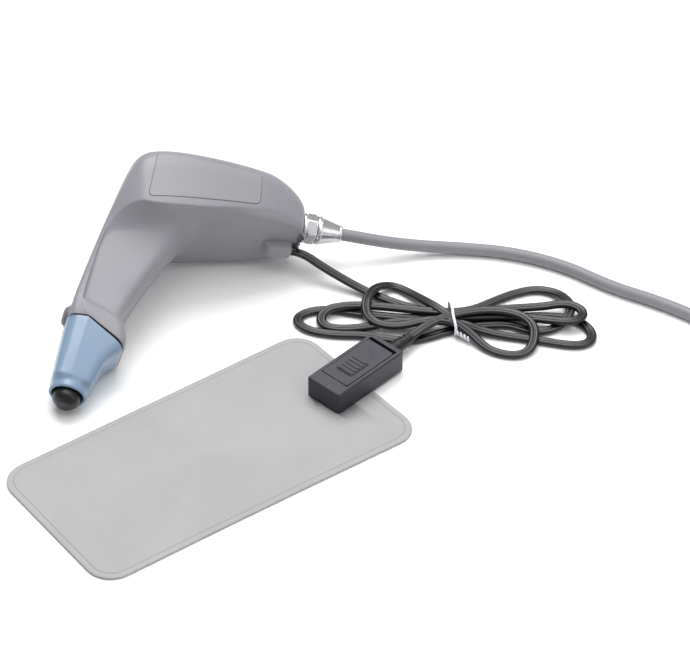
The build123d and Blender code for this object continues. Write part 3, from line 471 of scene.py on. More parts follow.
# Stations of the handle from the rear end to the nose joint. Each is a list of control
# points over the upper half: outer edge, outer corner, ridge, foot of the ridge, inner
# corner, inner edge, in handpiece terms, then the corners' cuts.
HANDLE_STATIONS = [
    body_station(121.6, 142.6, 13.6, 9.0, 1.4),
    body_station(121.6, 144.0, 14.8, 10.5, 1.8),
    body_station(120.0, 146.6, 17.0, 12.0, 2.6),
    body_station(116.8, 149.6, 19.6, 14.5, 3.8),
    body_station(112.4, 152.6, 22.0, 17.0, 5.0),
    body_station(106.4, 155.4, 24.8, 19.5, 6.0),
    body_station(100.0, 157.4, 27.6, 21.0, 6.2),
    body_station(90.0, 158.2, 29.6, 21.0, 5.2),
    body_station(76.0, 158.8, 31.6, 21.0, 3.2),
    body_station(62.0, 158.8, 33.0, 21.0, 1.4),
    ([(47, 158.6, 0), (47, 158.6, 33.4), (47, 119.0, 31.2), (49, 117.6, 20.5),
      (56, 114, 12.5), (57.5, 113, 0)], [0, 22, 0.9, 7, 7, 0]),
    ([(36.4, 157.4, 0), (36.4, 157.4, 33.2), (39, 117.8, 31.2), (41, 115.2, 20.3),
      (52.3, 107.8, 13.6), (53, 106.8, 0)], [0, 22, 0.9, 8, 9, 0]),
    ([(27.4, 155.4, 0), (27.4, 155.4, 32.2), (33, 117.8, 30.8), (35, 113.5, 19.6),
      (49.6, 103.3, 14), (50.2, 102.4, 0)], [0, 20, 0.8, 8, 10, 0]),
    ([(21.6, 150.6, 0), (21.6, 150.6, 29.8), (28.6, 118.8, 29.8), (31, 112, 18.8),
      (47.8, 100.2, 14.1), (48.2, 99.4, 0)], [0, 17, 0.8, 8, 11, 0]),
    ([(18.8, 143, 0), (18.8, 143, 26.6), (24.2, 119.0, 27.6), (27, 110.5, 17.8),
      (46.2, 97.4, 14.2), (46.6, 96.6, 0)], [0, 15, 0.8, 7, 12, 0]),
    ([(15.2, 131, 0), (15.2, 131, 22.4), (18.5, 117, 23.4), (22.4, 108.6, 16.6),
      (44.4, 93.8, 14.2), (44.8, 93, 0)], [0, 11, 0.7, 5, 12, 0]),
    ([(11.7, 118.0, 0), (11.7, 118.0, 17.5), (14.2, 112.4, 18.8), (17.4, 106.6, 15.4),
      (42.6, 90, 14.2), (43.0, 89.4, 0)], [0, 8.5, 0.8, 3, 12, 0]),
]
NECK_TABLE = [
    ((107, -7.9, 14.6, 7), (106.5, -6.0, 16.2, 0.7), (105, -4.6, 14.7, 1.0),
     (92.5, 27.2, 14.2, 12)),
    ((98, -8.8, 13.7, 6.5), (98, -7.3, 15.3, 0.6), (97, -6.0, 14.0, 0.8),
     (86, 25.0, 14.2, 12)),
    ((89, -9.6, 13.5, 6.5), (89, -7.6, 15.1, 0.6), (88.6, -6.3, 13.9, 0.8),
     (79.6, 23.1, 14.1, 12)),
    ((79, -10.5, 13.5, 6.5), (79, -7.7, 15.1, 0.6), (79, -6.4, 13.8, 0.8),
     (72.5, 21.2, 14.0, 12)),
    ((70, -11.2, 13.5, 6.5), (70, -7.7, 15.1, 0.6), (69.5, -6.4, 13.8, 0.8),
     (65, 19.2, 14.0, 12)),
    ((64, -11.7, 13.5, 6.5), (64, -7.7, 15.1, 0.6), (63.5, -6.4, 13.8, 0.8),
     (58.8, 17.6, 14.1, 12)),
    ((60.6, -11.8, 13.5, 6.5), (60.6, -7.6, 15.1, 0.6), (60.2, -6.3, 13.9, 0.8),
     (55.2, 17.2, 14.3, 12)),
    ((58.9, -11.9, 13.6, 6.5), (58.9, -7.5, 15.2, 0.6), (58.7, -6.3, 14.4, 0.8),
     (53.2, 17.6, 14.6, 11)),
    ((57.9, -12.0, 13.7, 6.5), (57.9, -7.4, 15.3, 1.0), (57.7, -6.2, 15.2, 1.0),
     (51.9, 18.4, 15.0, 11)),
    ((56.2, -11.7, 13.8, 6.5), (56.2, -7.2, 15.4, 1.6), (55.8, -5.2, 15.5, 1.6),
     (49.6, 19.8, 15.3, 11)),
    ((53.6, -11.9, 13.8, 6.5), (53.6, -6.2, 15.4, 2.0), (53.0, -4.0, 15.6, 2.0),
     (46.2, 21.6, 15.4, 11)),
    ((51.2, -12.0, 13.8, 6.5), (51.0, -4.6, 15.4, 2.0), (50.4, -2.4, 15.6, 2.0),
     (42.6, 22.6, 15.4, 11)),
    ((49.2, -12.1, 13.6, 6.5), (49.4, -3.2, 15.3, 2.0), (48.9, -0.8, 15.4, 2.0),
     (39.8, 22.6, 15.3, 11)),
    ((47.9, -12.15, 13.4, 6.5), (48.8, -2.6, 15.1, 2.0), (48.3, -0.4, 15.2, 2.0),
     (38.2, 22.1, 15.2, 11)),
]
HANDLE_STATIONS += [neck_station(*row) for row in NECK_TABLE]
STATION_STEPS = 7
STRAIGHT_STEPS = 7
BEND_STEPS = 9


def lofted(stations):
    """Smooth rows through the stations, with their corners rounded by their cuts."""
    corners = spline_rows([points for points, _ in stations], STATION_STEPS)
    cuts = spline_rows([cut for _, cut in stations], STATION_STEPS)
    return rounded_lines(corners, cuts, STRAIGHT_STEPS, BEND_STEPS)


handle_half = lofted(HANDLE_STATIONS)
# The ridge is the line between the two shells: the middle of the second rounded corner.
RIDGE_COLUMN = 2 * STRAIGHT_STEPS + BEND_STEPS + BEND_STEPS // 2 - 1


def rear_closure(half):
    """Rows that carry the first section in to the middle of the rear face, so that the face
    is part of the surface: each row is the section shrunk towards its centre."""
    middle = np.array([half[0, :, 0].mean(), REAR_MIDDLE, 0.0])
    share = np.array([0.02, 0.35, 0.7, 0.97])[:, None, None]
    rows = middle + (half[:1] - middle) * share
    rows[..., 0] = half[0, :, 0]
    return np.concatenate([rows, half])


handle_half = rear_closure(handle_half)
outer_half = handle_half[:, : RIDGE_COLUMN + 1]
inner_half = handle_half[:, RIDGE_COLUMN:]


def lower_share(points):
    """How much deeper the lower cheek is than the upper one: full over the body, fading to
    none down the neck."""
    fade = np.clip((points[..., 1] - LOWER_FADE_START) / LOWER_FADE_LENGTH, 0, 1)
    return 1 + (LOWER_SIDE - 1) * fade * fade * (3 - 2 * fade)


def both_halves(half, mirrored_at_start):
    """A strip from one ridge over the middle to the other ridge."""
    if mirrored_at_start:
        other = half[:, :0:-1].copy()
        other[..., 2] *= -lower_share(other)
        return np.concatenate([other, half], 1)
    other = half[:, -2::-1].copy()
    other[..., 2] *= -lower_share(other)
    return np.concatenate([half, other], 1)


SHELL_WALL = 2.0


def shell_piece(name, strip, node, body="set"):
    """An open strip of the handle's surface, given its wall inwards."""
    piece = skin(name, from_handpiece(strip), around=False, crease=60.0)
    wall = piece.modifiers.new("wall", "SOLIDIFY")
    wall.thickness = SHELL_WALL * MM
    wall.offset = -1
    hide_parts(node)
    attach(piece, body)
    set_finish(piece, "handle_grey")
    return piece


shell_piece("handle_outer", both_halves(outer_half, True)[:, ::-1], "outer_shell")
shell_piece("handle_inner", both_halves(inner_half, False)[:, ::-1], "inner_shell")

PANEL_CORNERS = np.array([(30.0, 121.2), (33.0, 151.0), (93.0, 150.0), (93.5, 131.4)])
PANEL_RADIUS = 4.0
PANEL_MIDDLE = np.array([62.0, 139.0])
PANEL_SKIRT = -0.8
CHEEK_LOWEST = 8.0
CHEEK_NEIGHBOURS = 10


def panel_outline(grown):
    """Outline of a cheek panel with round corners, grown outwards from its middle: straight
    runs joined by quadratic bends at the corners."""
    rows = []
    share = np.linspace(0, 1, 10)[:, None]
    for k, corner in enumerate(PANEL_CORNERS):
        before = unit(PANEL_CORNERS[k - 1] - corner) * PANEL_RADIUS
        after = unit(PANEL_CORNERS[(k + 1) % 4] - corner) * PANEL_RADIUS
        start, end = corner + before, corner + after
        rows.append(start * (1 - share) ** 2 + corner * 2 * share * (1 - share) + end * share**2)
        following = PANEL_CORNERS[(k + 1) % 4] - after
        run = np.linspace(0, 1, 22)[1:-1, None]
        rows.append(end + (following - end) * run)
    outline = np.concatenate(rows)
    out = outline - PANEL_MIDDLE
    return outline + grown * out / np.linalg.norm(out, axis=1, keepdims=True)


def cheek_height(spots):
    """Height of the upper cheek over spots (x, y): the planes through the nearest points of
    the handle's surface, weighted by the inverse of their distance squared."""
    cheek = handle_half[:, : RIDGE_COLUMN + 1]
    slant = np.cross(np.gradient(cheek, axis=0), np.gradient(cheek, axis=1)).reshape(-1, 3)
    points = cheek.reshape(-1, 3)
    keep = (points[:, 2] > CHEEK_LOWEST) & (np.abs(slant[:, 2]) > 1e-3)
    points, slant = points[keep], slant[keep]
    gap = spots[:, None] - points[None, :, :2]
    distance = (gap**2).sum(-1)
    nearest = np.argsort(distance, 1)[:, :CHEEK_NEIGHBOURS]
    near_gap = np.take_along_axis(gap, nearest[..., None], 1)
    near_slant = slant[nearest]
    rise = (near_gap * near_slant[..., :2]).sum(-1) / near_slant[..., 2]
    weight = 1 / (np.take_along_axis(distance, nearest, 1) + 0.4)
    return ((points[nearest, 2] - rise) * weight).sum(1) / weight.sum(1)


def panel_grid(grown, lift, side):
    """Rings from the panel's middle to its outline: share of the way out and height over the
    cheek; the last ones go down through the cheek and back to the middle."""
    outline = panel_outline(grown)
    rings = [(share, lift) for share in (0.02, 0.2, 0.4, 0.6, 0.8, 0.92, 0.985, 0.993)]
    rings += [(0.999, lift - 0.06), (1.0, lift - 0.16), (1.0, PANEL_SKIRT), (0.02, PANEL_SKIRT)]
    rows = []
    for share, height in rings:
        ring = PANEL_MIDDLE + (outline - PANEL_MIDDLE) * share
        level = cheek_height(ring)[:, None] + height
        rows.append(np.concatenate([ring, level], 1))
    grid = np.stack(rows)
    if side < 0:
        grid[..., 2] = -(grid[..., 2] - lift) * lower_share(grid) - lift
    return from_handpiece(grid)


for side, side_name in ((1, "upper"), (-1, "lower")):
    for piece_name, grown, lift, finish_name in (
        (f"cheek_panel_{side_name}", 0.0, 0.34, "panel_grey"),
        # The gap ring is painted shade of the seam round the panel: it uses the button's darker
        # grey and sits a little wider and lower than the panel.
        (f"cheek_panel_gap_{side_name}", 0.38, 0.22, "button_grey"),
    ):
        panel = outward(skin(piece_name, panel_grid(grown, lift, side), ends=True, crease=50.0))
        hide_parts(f"side_panel_{side_name}")
        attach(panel, "set")
        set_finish(panel, finish_name)

# Dark seal in the joint between the neck and the nose cone.
SEAL_SHARE = 0.925
seal_ring = mirrored_ring(handle_half[-1:])
seal_middle = seal_ring.mean(1, keepdims=True)
seal_ring = seal_middle + (seal_ring - seal_middle) * SEAL_SHARE
seal_shifts = np.array([-1.8, 0.0, 1.6])[:, None, None]
seal_grid = seal_ring + seal_shifts * np.array([*NECK_AXIS, 0.0])
nose_seal = outward(skin("nose_seal", from_handpiece(seal_grid), ends=True))
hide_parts("nose_gasket")
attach(nose_seal, "set")
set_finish(nose_seal, "seal_rubber")

# ------------------------------------------------------------------ nose
CONE_TABLE = [
    ((47.9, -12.1, 11.8, 5), (47.9, -1.4, 15.2, 0.7), (47.1, 0.3, 14.9, 0.7),
     (37.0, 21.6, 13.8, 11)),
    ((46.0, -12.1, 11.6, 5), (46.0, -1.4, 15.2, 0.7), (45.2, 0.3, 14.9, 0.7),
     (35.8, 21.2, 13.6, 11)),
    ((42.0, -12.0, 11.2, 5), (42.0, -1.4, 14.9, 0.7), (41.0, 0.4, 14.6, 0.7),
     (33.0, 18.4, 12.6, 10)),
    ((36.0, -11.8, 10.9, 5), (36.0, -1.5, 14.4, 0.7), (35.2, 0.3, 14.1, 0.7),
     (29.5, 15.7, 11.8, 10)),
    ((29.0, -11.5, 10.4, 5), (29.0, -1.6, 13.7, 0.7), (28.4, 0.2, 13.4, 0.7),
     (25.5, 14.3, 11.2, 9.5)),
    ((21.0, -11.1, 10.0, 5), (21.0, -1.7, 12.8, 0.7), (20.6, 0.1, 12.5, 0.7),
     (19.5, 13.0, 10.8, 9)),
    ((14.0, -10.8, 9.6, 6), (14.0, -1.8, 12.0, 0.8), (13.8, 0.0, 11.7, 0.8),
     (13.5, 11.7, 9.8, 9.5)),
    ((10.4, -10.7, 9.8, 7), (10.4, -1.9, 11.5, 0.9), (10.3, 0.0, 11.3, 0.9),
     (10.2, 11.0, 9.6, 9.5)),
    ((8.4, -10.6, 10.0, 8), (8.4, -1.9, 11.1, 1.5), (8.4, 0.0, 11.0, 1.5),
     (8.4, 10.7, 9.6, 9.5)),
    ((6.0, -10.5, 10.0, 8), (6.0, -1.9, 10.8, 1.5), (6.0, 0.0, 10.7, 1.5),
     (6.0, 10.5, 9.6, 9.5)),
]
CONE_RING_START = 12.5
CONE_RING_FULL = 8.6
CONE_RING_RADIUS = 10.5
CONE_BACK = np.array([44.0, 4.0, 0.0])
MOUTH_ROWS = [(5.5, 10.45), (5.1, 10.2), (4.95, 9.8), (4.95, 9.2), (5.1, 8.9), (5.6, 8.75),
              (15.0, 8.75), (15.2, 8.4), (15.2, 0.2)]


def cone_half():
    """Cone rows in neck terms: the lofted section, drawn out to a circle near the mouth,
    then the rounded lip, the bore and the bore's floor as rings."""
    half = lofted([neck_station(*row) for row in CONE_TABLE])
    s = half[..., :2] @ NECK_AXIS
    m = half[..., :2] @ NECK_ACROSS
    h = half[..., 2]
    ring = np.clip((CONE_RING_START - s) / (CONE_RING_START - CONE_RING_FULL), 0, 1)
    ring = ring**2 * (3 - 2 * ring)
    radius = np.hypot(m, h)
    grown = radius + (CONE_RING_RADIUS - radius) * ring
    m, h = m * grown / radius, h * grown / radius
    direction = np.stack([m[-1], h[-1]], -1)
    direction /= np.linalg.norm(direction, axis=1)[:, None]
    rows = [np.stack([s, m, h], -1)]
    for station, r in MOUTH_ROWS:
        row = np.concatenate([np.full((len(direction), 1), station), direction * r], 1)
        rows.append(row[None])
    whole = np.concatenate(rows)
    top = whole[:1].copy()
    shares = np.array([0.02, 0.5])[:, None, None]
    return np.concatenate([CONE_BACK + (top - CONE_BACK) * shares, whole])


def neck_place(points):
    """Lathe points (across, up, along the neck) to the row frame."""
    return from_handpiece(from_neck(points[..., 2], points[..., 0], points[..., 1]))


cone_rows = mirrored_ring(cone_half())
cone_grid = from_handpiece(from_neck(cone_rows[..., 0], cone_rows[..., 1], cone_rows[..., 2]))
nose_skin = outward(skin("nose_skin", cone_grid, crease=50.0))
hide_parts("nose_cone")
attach(nose_skin, "set")
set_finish(nose_skin, "nose_blue")

TIP_PROFILE = [(-2.4, 0.0), (-2.4, 3.9), (-0.4, 6.3), (1.4, 7.55), (3.6, 7.7), (14.0, 7.7),
               (14.0, 0.0)]
tip_skin = lathe("tip_skin", softened(TIP_PROFILE, 1.1, 6), neck_place, turns=72)
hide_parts("electrode_tip")
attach(tip_skin, "set")
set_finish(tip_skin, "electrode_black")

BUTTON_AT = 53.0


def button_place(points):
    """Button frame to the row frame: along the neck, up, and out of the neck's outer face."""
    return from_handpiece(from_neck(BUTTON_AT + points[..., 0], -points[..., 2], points[..., 1]))


BUTTON_PROFILE = [(8.6, 0.0), (8.6, 6.4), (9.8, 6.4), (9.8, 5.7), (12.6, 5.7), (13.9, 5.0),
                  (14.7, 3.4), (14.9, 0.0)]
button_skin = lathe("button_skin", softened(BUTTON_PROFILE, 0.5, 5), button_place, turns=48)
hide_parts("trigger_button")
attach(button_skin, "button")
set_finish(button_skin, "button_grey")
collar_profile = [(9.9, 5.85), (12.2, 5.85), (12.45, 6.2), (12.35, 6.7), (11.9, 6.9), (9.9, 6.9),
                  (9.9, 5.85)]
collar_skin = lathe("collar_skin", softened(collar_profile, 0.12, 2), button_place, turns=48)
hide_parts("button_collar")
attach(collar_skin, "set")
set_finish(collar_skin, "button_grey")

# ------------------------------------------------------------------ gland
GLAND_AT = (122.0, 138.3)
HEX_HALF = 7.7
HEX_MIDDLE = 6.1
HEX_CROWN = 8.72


def gland_place(points):
    """Gland frame to the row frame: its axis leaves the rear face."""
    moved = np.stack(
        [GLAND_AT[0] + points[..., 2], GLAND_AT[1] + points[..., 0], points[..., 1]], -1
    )
    return from_handpiece(moved)


def gland_collar_grid():
    """Flange then hexagon: the radius is the smallest of the hexagon's side distance over
    the cosine of the angle to the nearest flat, and a cone that bevels both ends."""
    angle = np.linspace(0, 2 * math.pi, 144, endpoint=False)
    to_flat = (angle + math.pi / 6) % (math.pi / 3) - math.pi / 6
    flat = HEX_HALF / np.cos(to_flat)
    rows = []
    for along, radius in [(0.8, 6.0), (0.8, 8.3), (1.0, 8.6), (1.3, 8.7), (2.5, 8.7),
                          (2.8, 8.6), (3.0, 8.3), (3.0, 7.0), (3.3, 7.0)]:
        rows.append((along, np.full_like(angle, radius)))
    for along in np.linspace(3.3, 8.9, 17):
        crown = HEX_CROWN - 0.9 * max(0.0, abs(along - HEX_MIDDLE) - 2.0)
        rows.append((along, np.minimum(flat, crown)))
    rows.append((9.0, np.full_like(angle, 6.6)))
    rows.append((9.0, np.full_like(angle, 3.6)))
    radius = np.stack([row[1] for row in rows])
    along = np.array([row[0] for row in rows])[:, None] + 0 * angle
    return np.stack([radius * np.cos(angle), radius * np.sin(angle), along], -1)


gland_collar = outward(
    skin("gland_collar", gland_place(gland_collar_grid()), ends=True, crease=25.0)
)
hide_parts("gland_body")
NUT_PROFILE = [(9.05, 3.6), (9.05, 7.9), (9.7, 8.35), (11.4, 8.3), (11.7, 8.0), (22.4, 5.0),
               (22.8, 5.1), (23.7, 4.95), (24.0, 4.5), (24.0, 3.6), (9.05, 3.6)]
gland_cone = lathe("gland_cone", softened(NUT_PROFILE, 0.2, 3), gland_place, turns=72)
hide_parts("gland_nut")
for piece in (gland_collar, gland_cone):
    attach(piece, "set")
    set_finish(piece, "gland_metal")


# ------------------------------------------------------------------ blocks
def rounded_outline(half_x, half_y, radius, steps=8):
    """Points of a rectangle with round corners: four quarter circles about its corners'
    centres."""
    radius = min(radius, half_x, half_y)
    quarter = np.linspace(0, math.pi / 2, steps)
    points = []
    for k, (sx, sy) in enumerate([(1, 1), (-1, 1), (-1, -1), (1, -1)]):
        angle = quarter + k * math.pi / 2
        x = sx * (half_x - radius) + radius * np.cos(angle)
        y = sy * (half_y - radius) + radius * np.sin(angle)
        points.append(np.stack([x, y], -1))
    return np.concatenate(points)


def block(name, rings, place):
    """A block from level rings, lowest first: each is (half length, half width, corner
    radius, height, shift along). The first and last rings are closed."""
    rows = []
    for half_x, half_y, radius, height, shift in rings:
        outline = rounded_outline(half_x, half_y, radius) + [shift, 0]
        rows.append(np.concatenate([outline, np.full((len(outline), 1), height)], 1))
    return outward(skin(name, place(np.stack(rows)), ends=True, crease=35.0))


INNER_DIR = unit(np.array([math.cos(math.atan(INNER_FACE_SLOPE)),
                           math.sin(math.atan(INNER_FACE_SLOPE)), 0.0]))
INNER_OUT = np.array([INNER_DIR[1], -INNER_DIR[0], 0.0])
PORT_MIDDLE = 111.0
PORT_HEIGHT = -4.0


def port_place(points):
    """Port frame to the row frame: along the inner face, across the handle, out of the face."""
    start = np.array([PORT_MIDDLE, inner_face_y(PORT_MIDDLE), PORT_HEIGHT])
    local = (
        start
        + points[..., :1] * INNER_DIR
        + points[..., 1:2] * np.array([0.0, 0.0, 1.0])
        + points[..., 2:] * INNER_OUT
    )
    return from_handpiece(local)


port_rings = [(8.6, 5.0, 2.2, -0.6, -1.2), (8.2, 4.8, 2.0, 0.8, -1.0), (7.6, 4.6, 1.8, 3.0, -0.5)]
port_rings += [(7.0 - 0.25 * k, 4.5 - 0.2 * k, 1.6, 4.8 + 0.3 * k, 0.1 * k) for k in range(4)]
port_rings.append((4.8, 3.0, 1.2, 6.0, 0.8))
port_skin = block("port_skin", port_rings, port_place)
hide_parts("lead_port")
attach(port_skin, "set")
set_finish(port_skin, "handle_grey")

# ------------------------------------------------------------------ pad
PAD_CORNER = 15.0
PAD_TOP = 1.5
SEAM_AT = 3.5
SEAM_DEPTH = 0.32
SEAM_WIDTH = 0.32
NOTCH_HALF = 9.2


def pad_rise(x, y):
    """Gentle unevenness of the laid pad: three long slanting waves added together."""
    return 0.09 * np.sin(x / 23 + y / 31) + 0.07 * np.sin(x / 41 - y / 17 + 1) + 0.05 * np.sin(
        x / 11 + y / 47 + 2
    )


def pad_grid():
    """Rings set in from the pad's outline by a growing distance: flat underneath, a rounded
    edge, then the top with its welded seam, a narrow dip at the seam's distance."""
    under = [(d, 0.52) for d in (51.0, 30.0, 10.0, 1.0, 0.3)]
    edge = [(0.05, 0.62), (0.0, 0.85), (0.0, 1.1), (0.12, 1.32), (0.4, 1.46)]
    top = [(d, PAD_TOP) for d in (0.9, 1.6, 2.2, 2.6, 2.9, 3.1, 3.3, 3.5, 3.7, 3.9, 4.1, 4.4,
                                  4.9, 5.6, 6.6, 8, 10, 13, 17, 21, 25, 29, 33, 37, 41, 45, 48,
                                  50.5, 51.3)]
    rows = []
    for inset, height in under + edge + top:
        radius = max(PAD_CORNER - inset, 0.15)
        outline = rounded_outline(PAD_HALF[0] - inset, PAD_HALF[1] - inset, radius, 10)
        stretch = []
        nxt = np.roll(outline, -1, 0)
        for share in (0.0, 0.34, 0.67):
            stretch.append(outline + (nxt - outline) * share)
        outline = np.stack(stretch, 1).reshape(-1, 2)
        z = np.full(len(outline), height)
        if (inset, height) in top:
            z -= SEAM_DEPTH * math.exp(-(((inset - SEAM_AT) / SEAM_WIDTH) ** 2))
            z += pad_rise(*outline.T) * min(1.0, inset / 6.0)
        rows.append(np.concatenate([outline, z[:, None]], 1))
    return np.stack(rows)


def cut_away(piece, cutter):
    """Takes the cutter's solid out of the piece for good and removes the cutter."""
    cut = piece.modifiers.new("cut", "BOOLEAN")
    cut.operation = "DIFFERENCE"
    cut.solver = "EXACT"
    cut.object = cutter
    graph = bpy.context.evaluated_depsgraph_get()
    mesh = bpy.data.meshes.new_from_object(piece.evaluated_get(graph))
    piece.modifiers.clear()
    piece.data = mesh
    bpy.data.objects.remove(cutter)


pad_sheet = outward(skin("pad_sheet", from_pad(pad_grid()), ends=True, crease=50.0))
notch_rings = [(40.0, NOTCH_HALF, 0.5, z, 40.0) for z in (-1.0, 3.0)]
cut_away(pad_sheet, block("notch_cutter", notch_rings, from_clamp))
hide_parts("pad_backing")
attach(pad_sheet, "set")
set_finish(pad_sheet, "pad_film")

# ------------------------------------------------------------------ tie
TIE_X = 133.0
TIE_MIDDLE = (106.9, 5.0)
TIE_HALF = (11.0, 4.8)


def tie_ring_grid():
    """Flat paper strip round the bundle: a squared-off ellipse in the upright plane, whose
    two edges wander a little along the bundle."""
    angle = np.linspace(0, 2 * math.pi, 96, endpoint=False)
    c, s = np.cos(angle), np.sin(angle)
    y = TIE_HALF[0] * np.sign(c) * np.abs(c) ** 0.6
    z = TIE_HALF[1] * np.sign(s) * np.abs(s) ** 0.6
    drift = -1.6 * c
    rows = []
    for across, out in [(-0.7, 0), (-0.78, 0.25), (-0.6, 0.5), (0, 0.6), (0.6, 0.5),
                        (0.78, 0.25), (0.7, 0), (0, -0.05), (-0.7, 0)]:
        grow_y, grow_z = 1 + out / TIE_HALF[0], 1 + out / TIE_HALF[1]
        row = [TIE_X + across + drift, TIE_MIDDLE[0] + y * grow_y, TIE_MIDDLE[1] + z * grow_z]
        rows.append(np.stack(row, -1))
    grid = np.stack(rows)
    grid[..., 2] = np.maximum(grid[..., 2], 0.12)
    return grid


tie_ring = outward(skin("tie_ring", tie_ring_grid(), crease=50.0))
TAIL_TWIST = 4.2 * math.pi
tail_share = np.linspace(0, 1, 40)[:, None]
tail_start, tail_end = np.array([134.4, 96.0, 4.6]), np.array([142.5, 90.6, 3.2])
tail_axis = tail_start * (1 - tail_share) + tail_end * tail_share
tie_tails = []
for k in range(2):
    wind = tail_share[:, 0] * TAIL_TWIST + k * math.pi
    spread = 0.95 + 1.6 * np.clip(tail_share[:, 0] - 0.72, 0, 1) ** 1.2
    swing = np.stack([0.6 * np.cos(wind), 0.75 * np.cos(wind), np.sin(wind)], -1)
    strip = [(0.5, 0.16), (-0.5, 0.16), (-0.5, -0.16), (0.5, -0.16)]
    tie_tails.append(swept(f"tie_tail_{k}", tail_axis + swing * spread[:, None], strip))
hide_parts("twist_tie")
for piece in (tie_ring, *tie_tails):
    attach(piece, "set")
    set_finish(piece, "tie_paper")

# ------------------------------------------------------------------ strain relief, boot
RELIEF_START = 52.0
RELIEF_LENGTH = 18.0
RELIEF_WIDE = 4.6
RELIEF_TAPER = 1.2
RELIEF_HEIGHT = 6.5


def relief_grid():
    """Ribbed cone of the clamp's strain relief: a slightly flat oval that narrows along its
    length, with rounded ribs as a raised cosine of the distance."""
    along = np.linspace(0, RELIEF_LENGTH, 110)
    angle = np.linspace(0, 2 * math.pi, 40, endpoint=False)
    size = RELIEF_WIDE - RELIEF_TAPER * (along / RELIEF_LENGTH)
    rib = 0.42 * (np.clip(np.cos(along / 2.55 * 2 * math.pi), -0.35, 0.75) + 0.35)
    rib *= np.clip((17.2 - along) / 1.0, 0, 1)
    radius = size - 0.45 + rib
    y = radius[:, None] * np.cos(angle) * 1.05
    z = RELIEF_HEIGHT + radius[:, None] * np.sin(angle) * 0.86
    x = RELIEF_START + along[:, None] + 0 * angle
    return np.stack([x, y, z], -1)


relief_skin = outward(skin("relief_skin", from_clamp(relief_grid()), ends=True, crease=60.0))
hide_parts("clamp_strain_relief")
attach(relief_skin, "set")
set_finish(relief_skin, "lead_black")

PLUG_START = np.array(TAIL_ROUTE[-1])
PLUG_HEADING = math.radians(83.9)


def plug_place(points):
    """Plug frame to the row frame: the plug lies level along its heading."""
    c, s = math.cos(PLUG_HEADING), math.sin(PLUG_HEADING)
    x = PLUG_START[0] + points[..., 0] * s + points[..., 2] * c
    y = PLUG_START[1] - points[..., 0] * c + points[..., 2] * s
    return np.stack([x, y, PLUG_START[2] + points[..., 1]], -1)


BOOT_NARROW, BOOT_WIDE, BOOT_LENGTH = 4.6, 7.0, 16.0
BOOT_END = 15.9
boot_along = np.linspace(0, BOOT_END, 90)
boot_rib = 0.45 * np.clip(np.cos(boot_along / 2.3 * 2 * math.pi), -0.4, 0.7)
boot_cone = BOOT_NARROW + (BOOT_WIDE - BOOT_NARROW) * boot_along / BOOT_LENGTH
boot_radius = boot_cone + boot_rib * np.clip((14 - boot_along) / 2, 0, 1)
boot_profile = [(0.0, 3.55), *zip(boot_along, boot_radius), (BOOT_END, 0.0)]
boot_skin = lathe("boot_skin", boot_profile, plug_place, turns=48)
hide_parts("plug_boot")
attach(boot_skin, "set")
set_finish(boot_skin, "plug_black")


# ------------------------------------------------------------------ finishes
class Wire:
    """One socket of a finish. Arithmetic on it adds Math nodes to the finish."""

    def __init__(self, finish, socket):
        self.finish = finish
        self.socket = socket

    def math(self, operation, *values):
        """A Math node of that operation on these values."""
        inputs = dict(enumerate(values))
        return self.finish.node("ShaderNodeMath", {"operation": operation}, inputs)

    def __add__(self, other):
        return self.math("ADD", self, other)

    def __mul__(self, other):
        return self.math("MULTIPLY", self, other)

    def sine(self):
        """Sine of the wire's value."""
        return self.math("SINE", self)


class Finish:
    """A material under construction: a Principled shader and one node-making method."""

    def __init__(self, name, base, roughness, metallic=0.0, coat=0.0):
        self.material = bpy.data.materials.new(name)
        self.material.use_nodes = True
        self.tree = self.material.node_tree
        self.shader = self.tree.nodes["Principled BSDF"]
        self.set("Base Color", base)
        self.set("Roughness", roughness)
        self.set("Metallic", metallic)
        self.set("Coat Weight", coat)
        self.place = self.node("ShaderNodeTexCoord", {}, {}, "Object")

    def put(self, socket, value):
        """Links a wire to a socket, or writes a plain value on it."""
        if isinstance(value, Wire):
            self.tree.links.new(value.socket, socket)
        elif hasattr(value, "__len__") and socket.type == "RGBA" and len(value) == 3:
            socket.default_value = (*value, 1.0)
        else:
            socket.default_value = value

    def set(self, name, value):
        """Sets or links one socket of the shader."""
        self.put(self.shader.inputs[name], value)

    def node(self, kind, settings, inputs, output=0):
        """A node of a kind: its settings first, then its inputs, by name or number."""
        node = self.tree.nodes.new(kind)
        for key, value in settings.items():
            setattr(node, key, value)
        for key, value in inputs.items():
            self.put(node.inputs[key], value)
        return Wire(self, node.outputs[output])

    def noise(self, scale, detail=3.0, rough=0.5, place=None):
        """Even noise from 0 to 1 at so many waves in a metre."""
        inputs = {"Vector": place or self.place, "Scale": scale, "Detail": detail,
                  "Roughness": rough}
        return self.node("ShaderNodeTexNoise", {}, inputs)

    def spread(self, value, low, high, out_low=0.0, out_high=1.0):
        """Value carried smoothly from one range to another."""
        inputs = {0: value, 1: low, 2: high, 3: out_low, 4: out_high}
        return self.node("ShaderNodeMapRange", {"interpolation_type": "SMOOTHSTEP"}, inputs)

    def mix(self, share, first, second):
        """Colour between two colours."""
        inputs = {0: share, 6: first, 7: second}
        for key in (6, 7):
            if hasattr(inputs[key], "__len__"):
                inputs[key] = (*inputs[key][:3], 1.0)
        return self.node("ShaderNodeMix", {"data_type": "RGBA"}, inputs, 2)

    def bump(self, height, distance, strength=1.0):
        """Fine relief of that height, in metres, into the shader's normal."""
        inputs = {"Height": height, "Distance": distance, "Strength": strength}
        self.set("Normal", self.node("ShaderNodeBump", {}, inputs))

    def axis(self, index):
        """One coordinate of the place, in metres."""
        return self.node("ShaderNodeSeparateXYZ", {}, {0: self.place}, index)


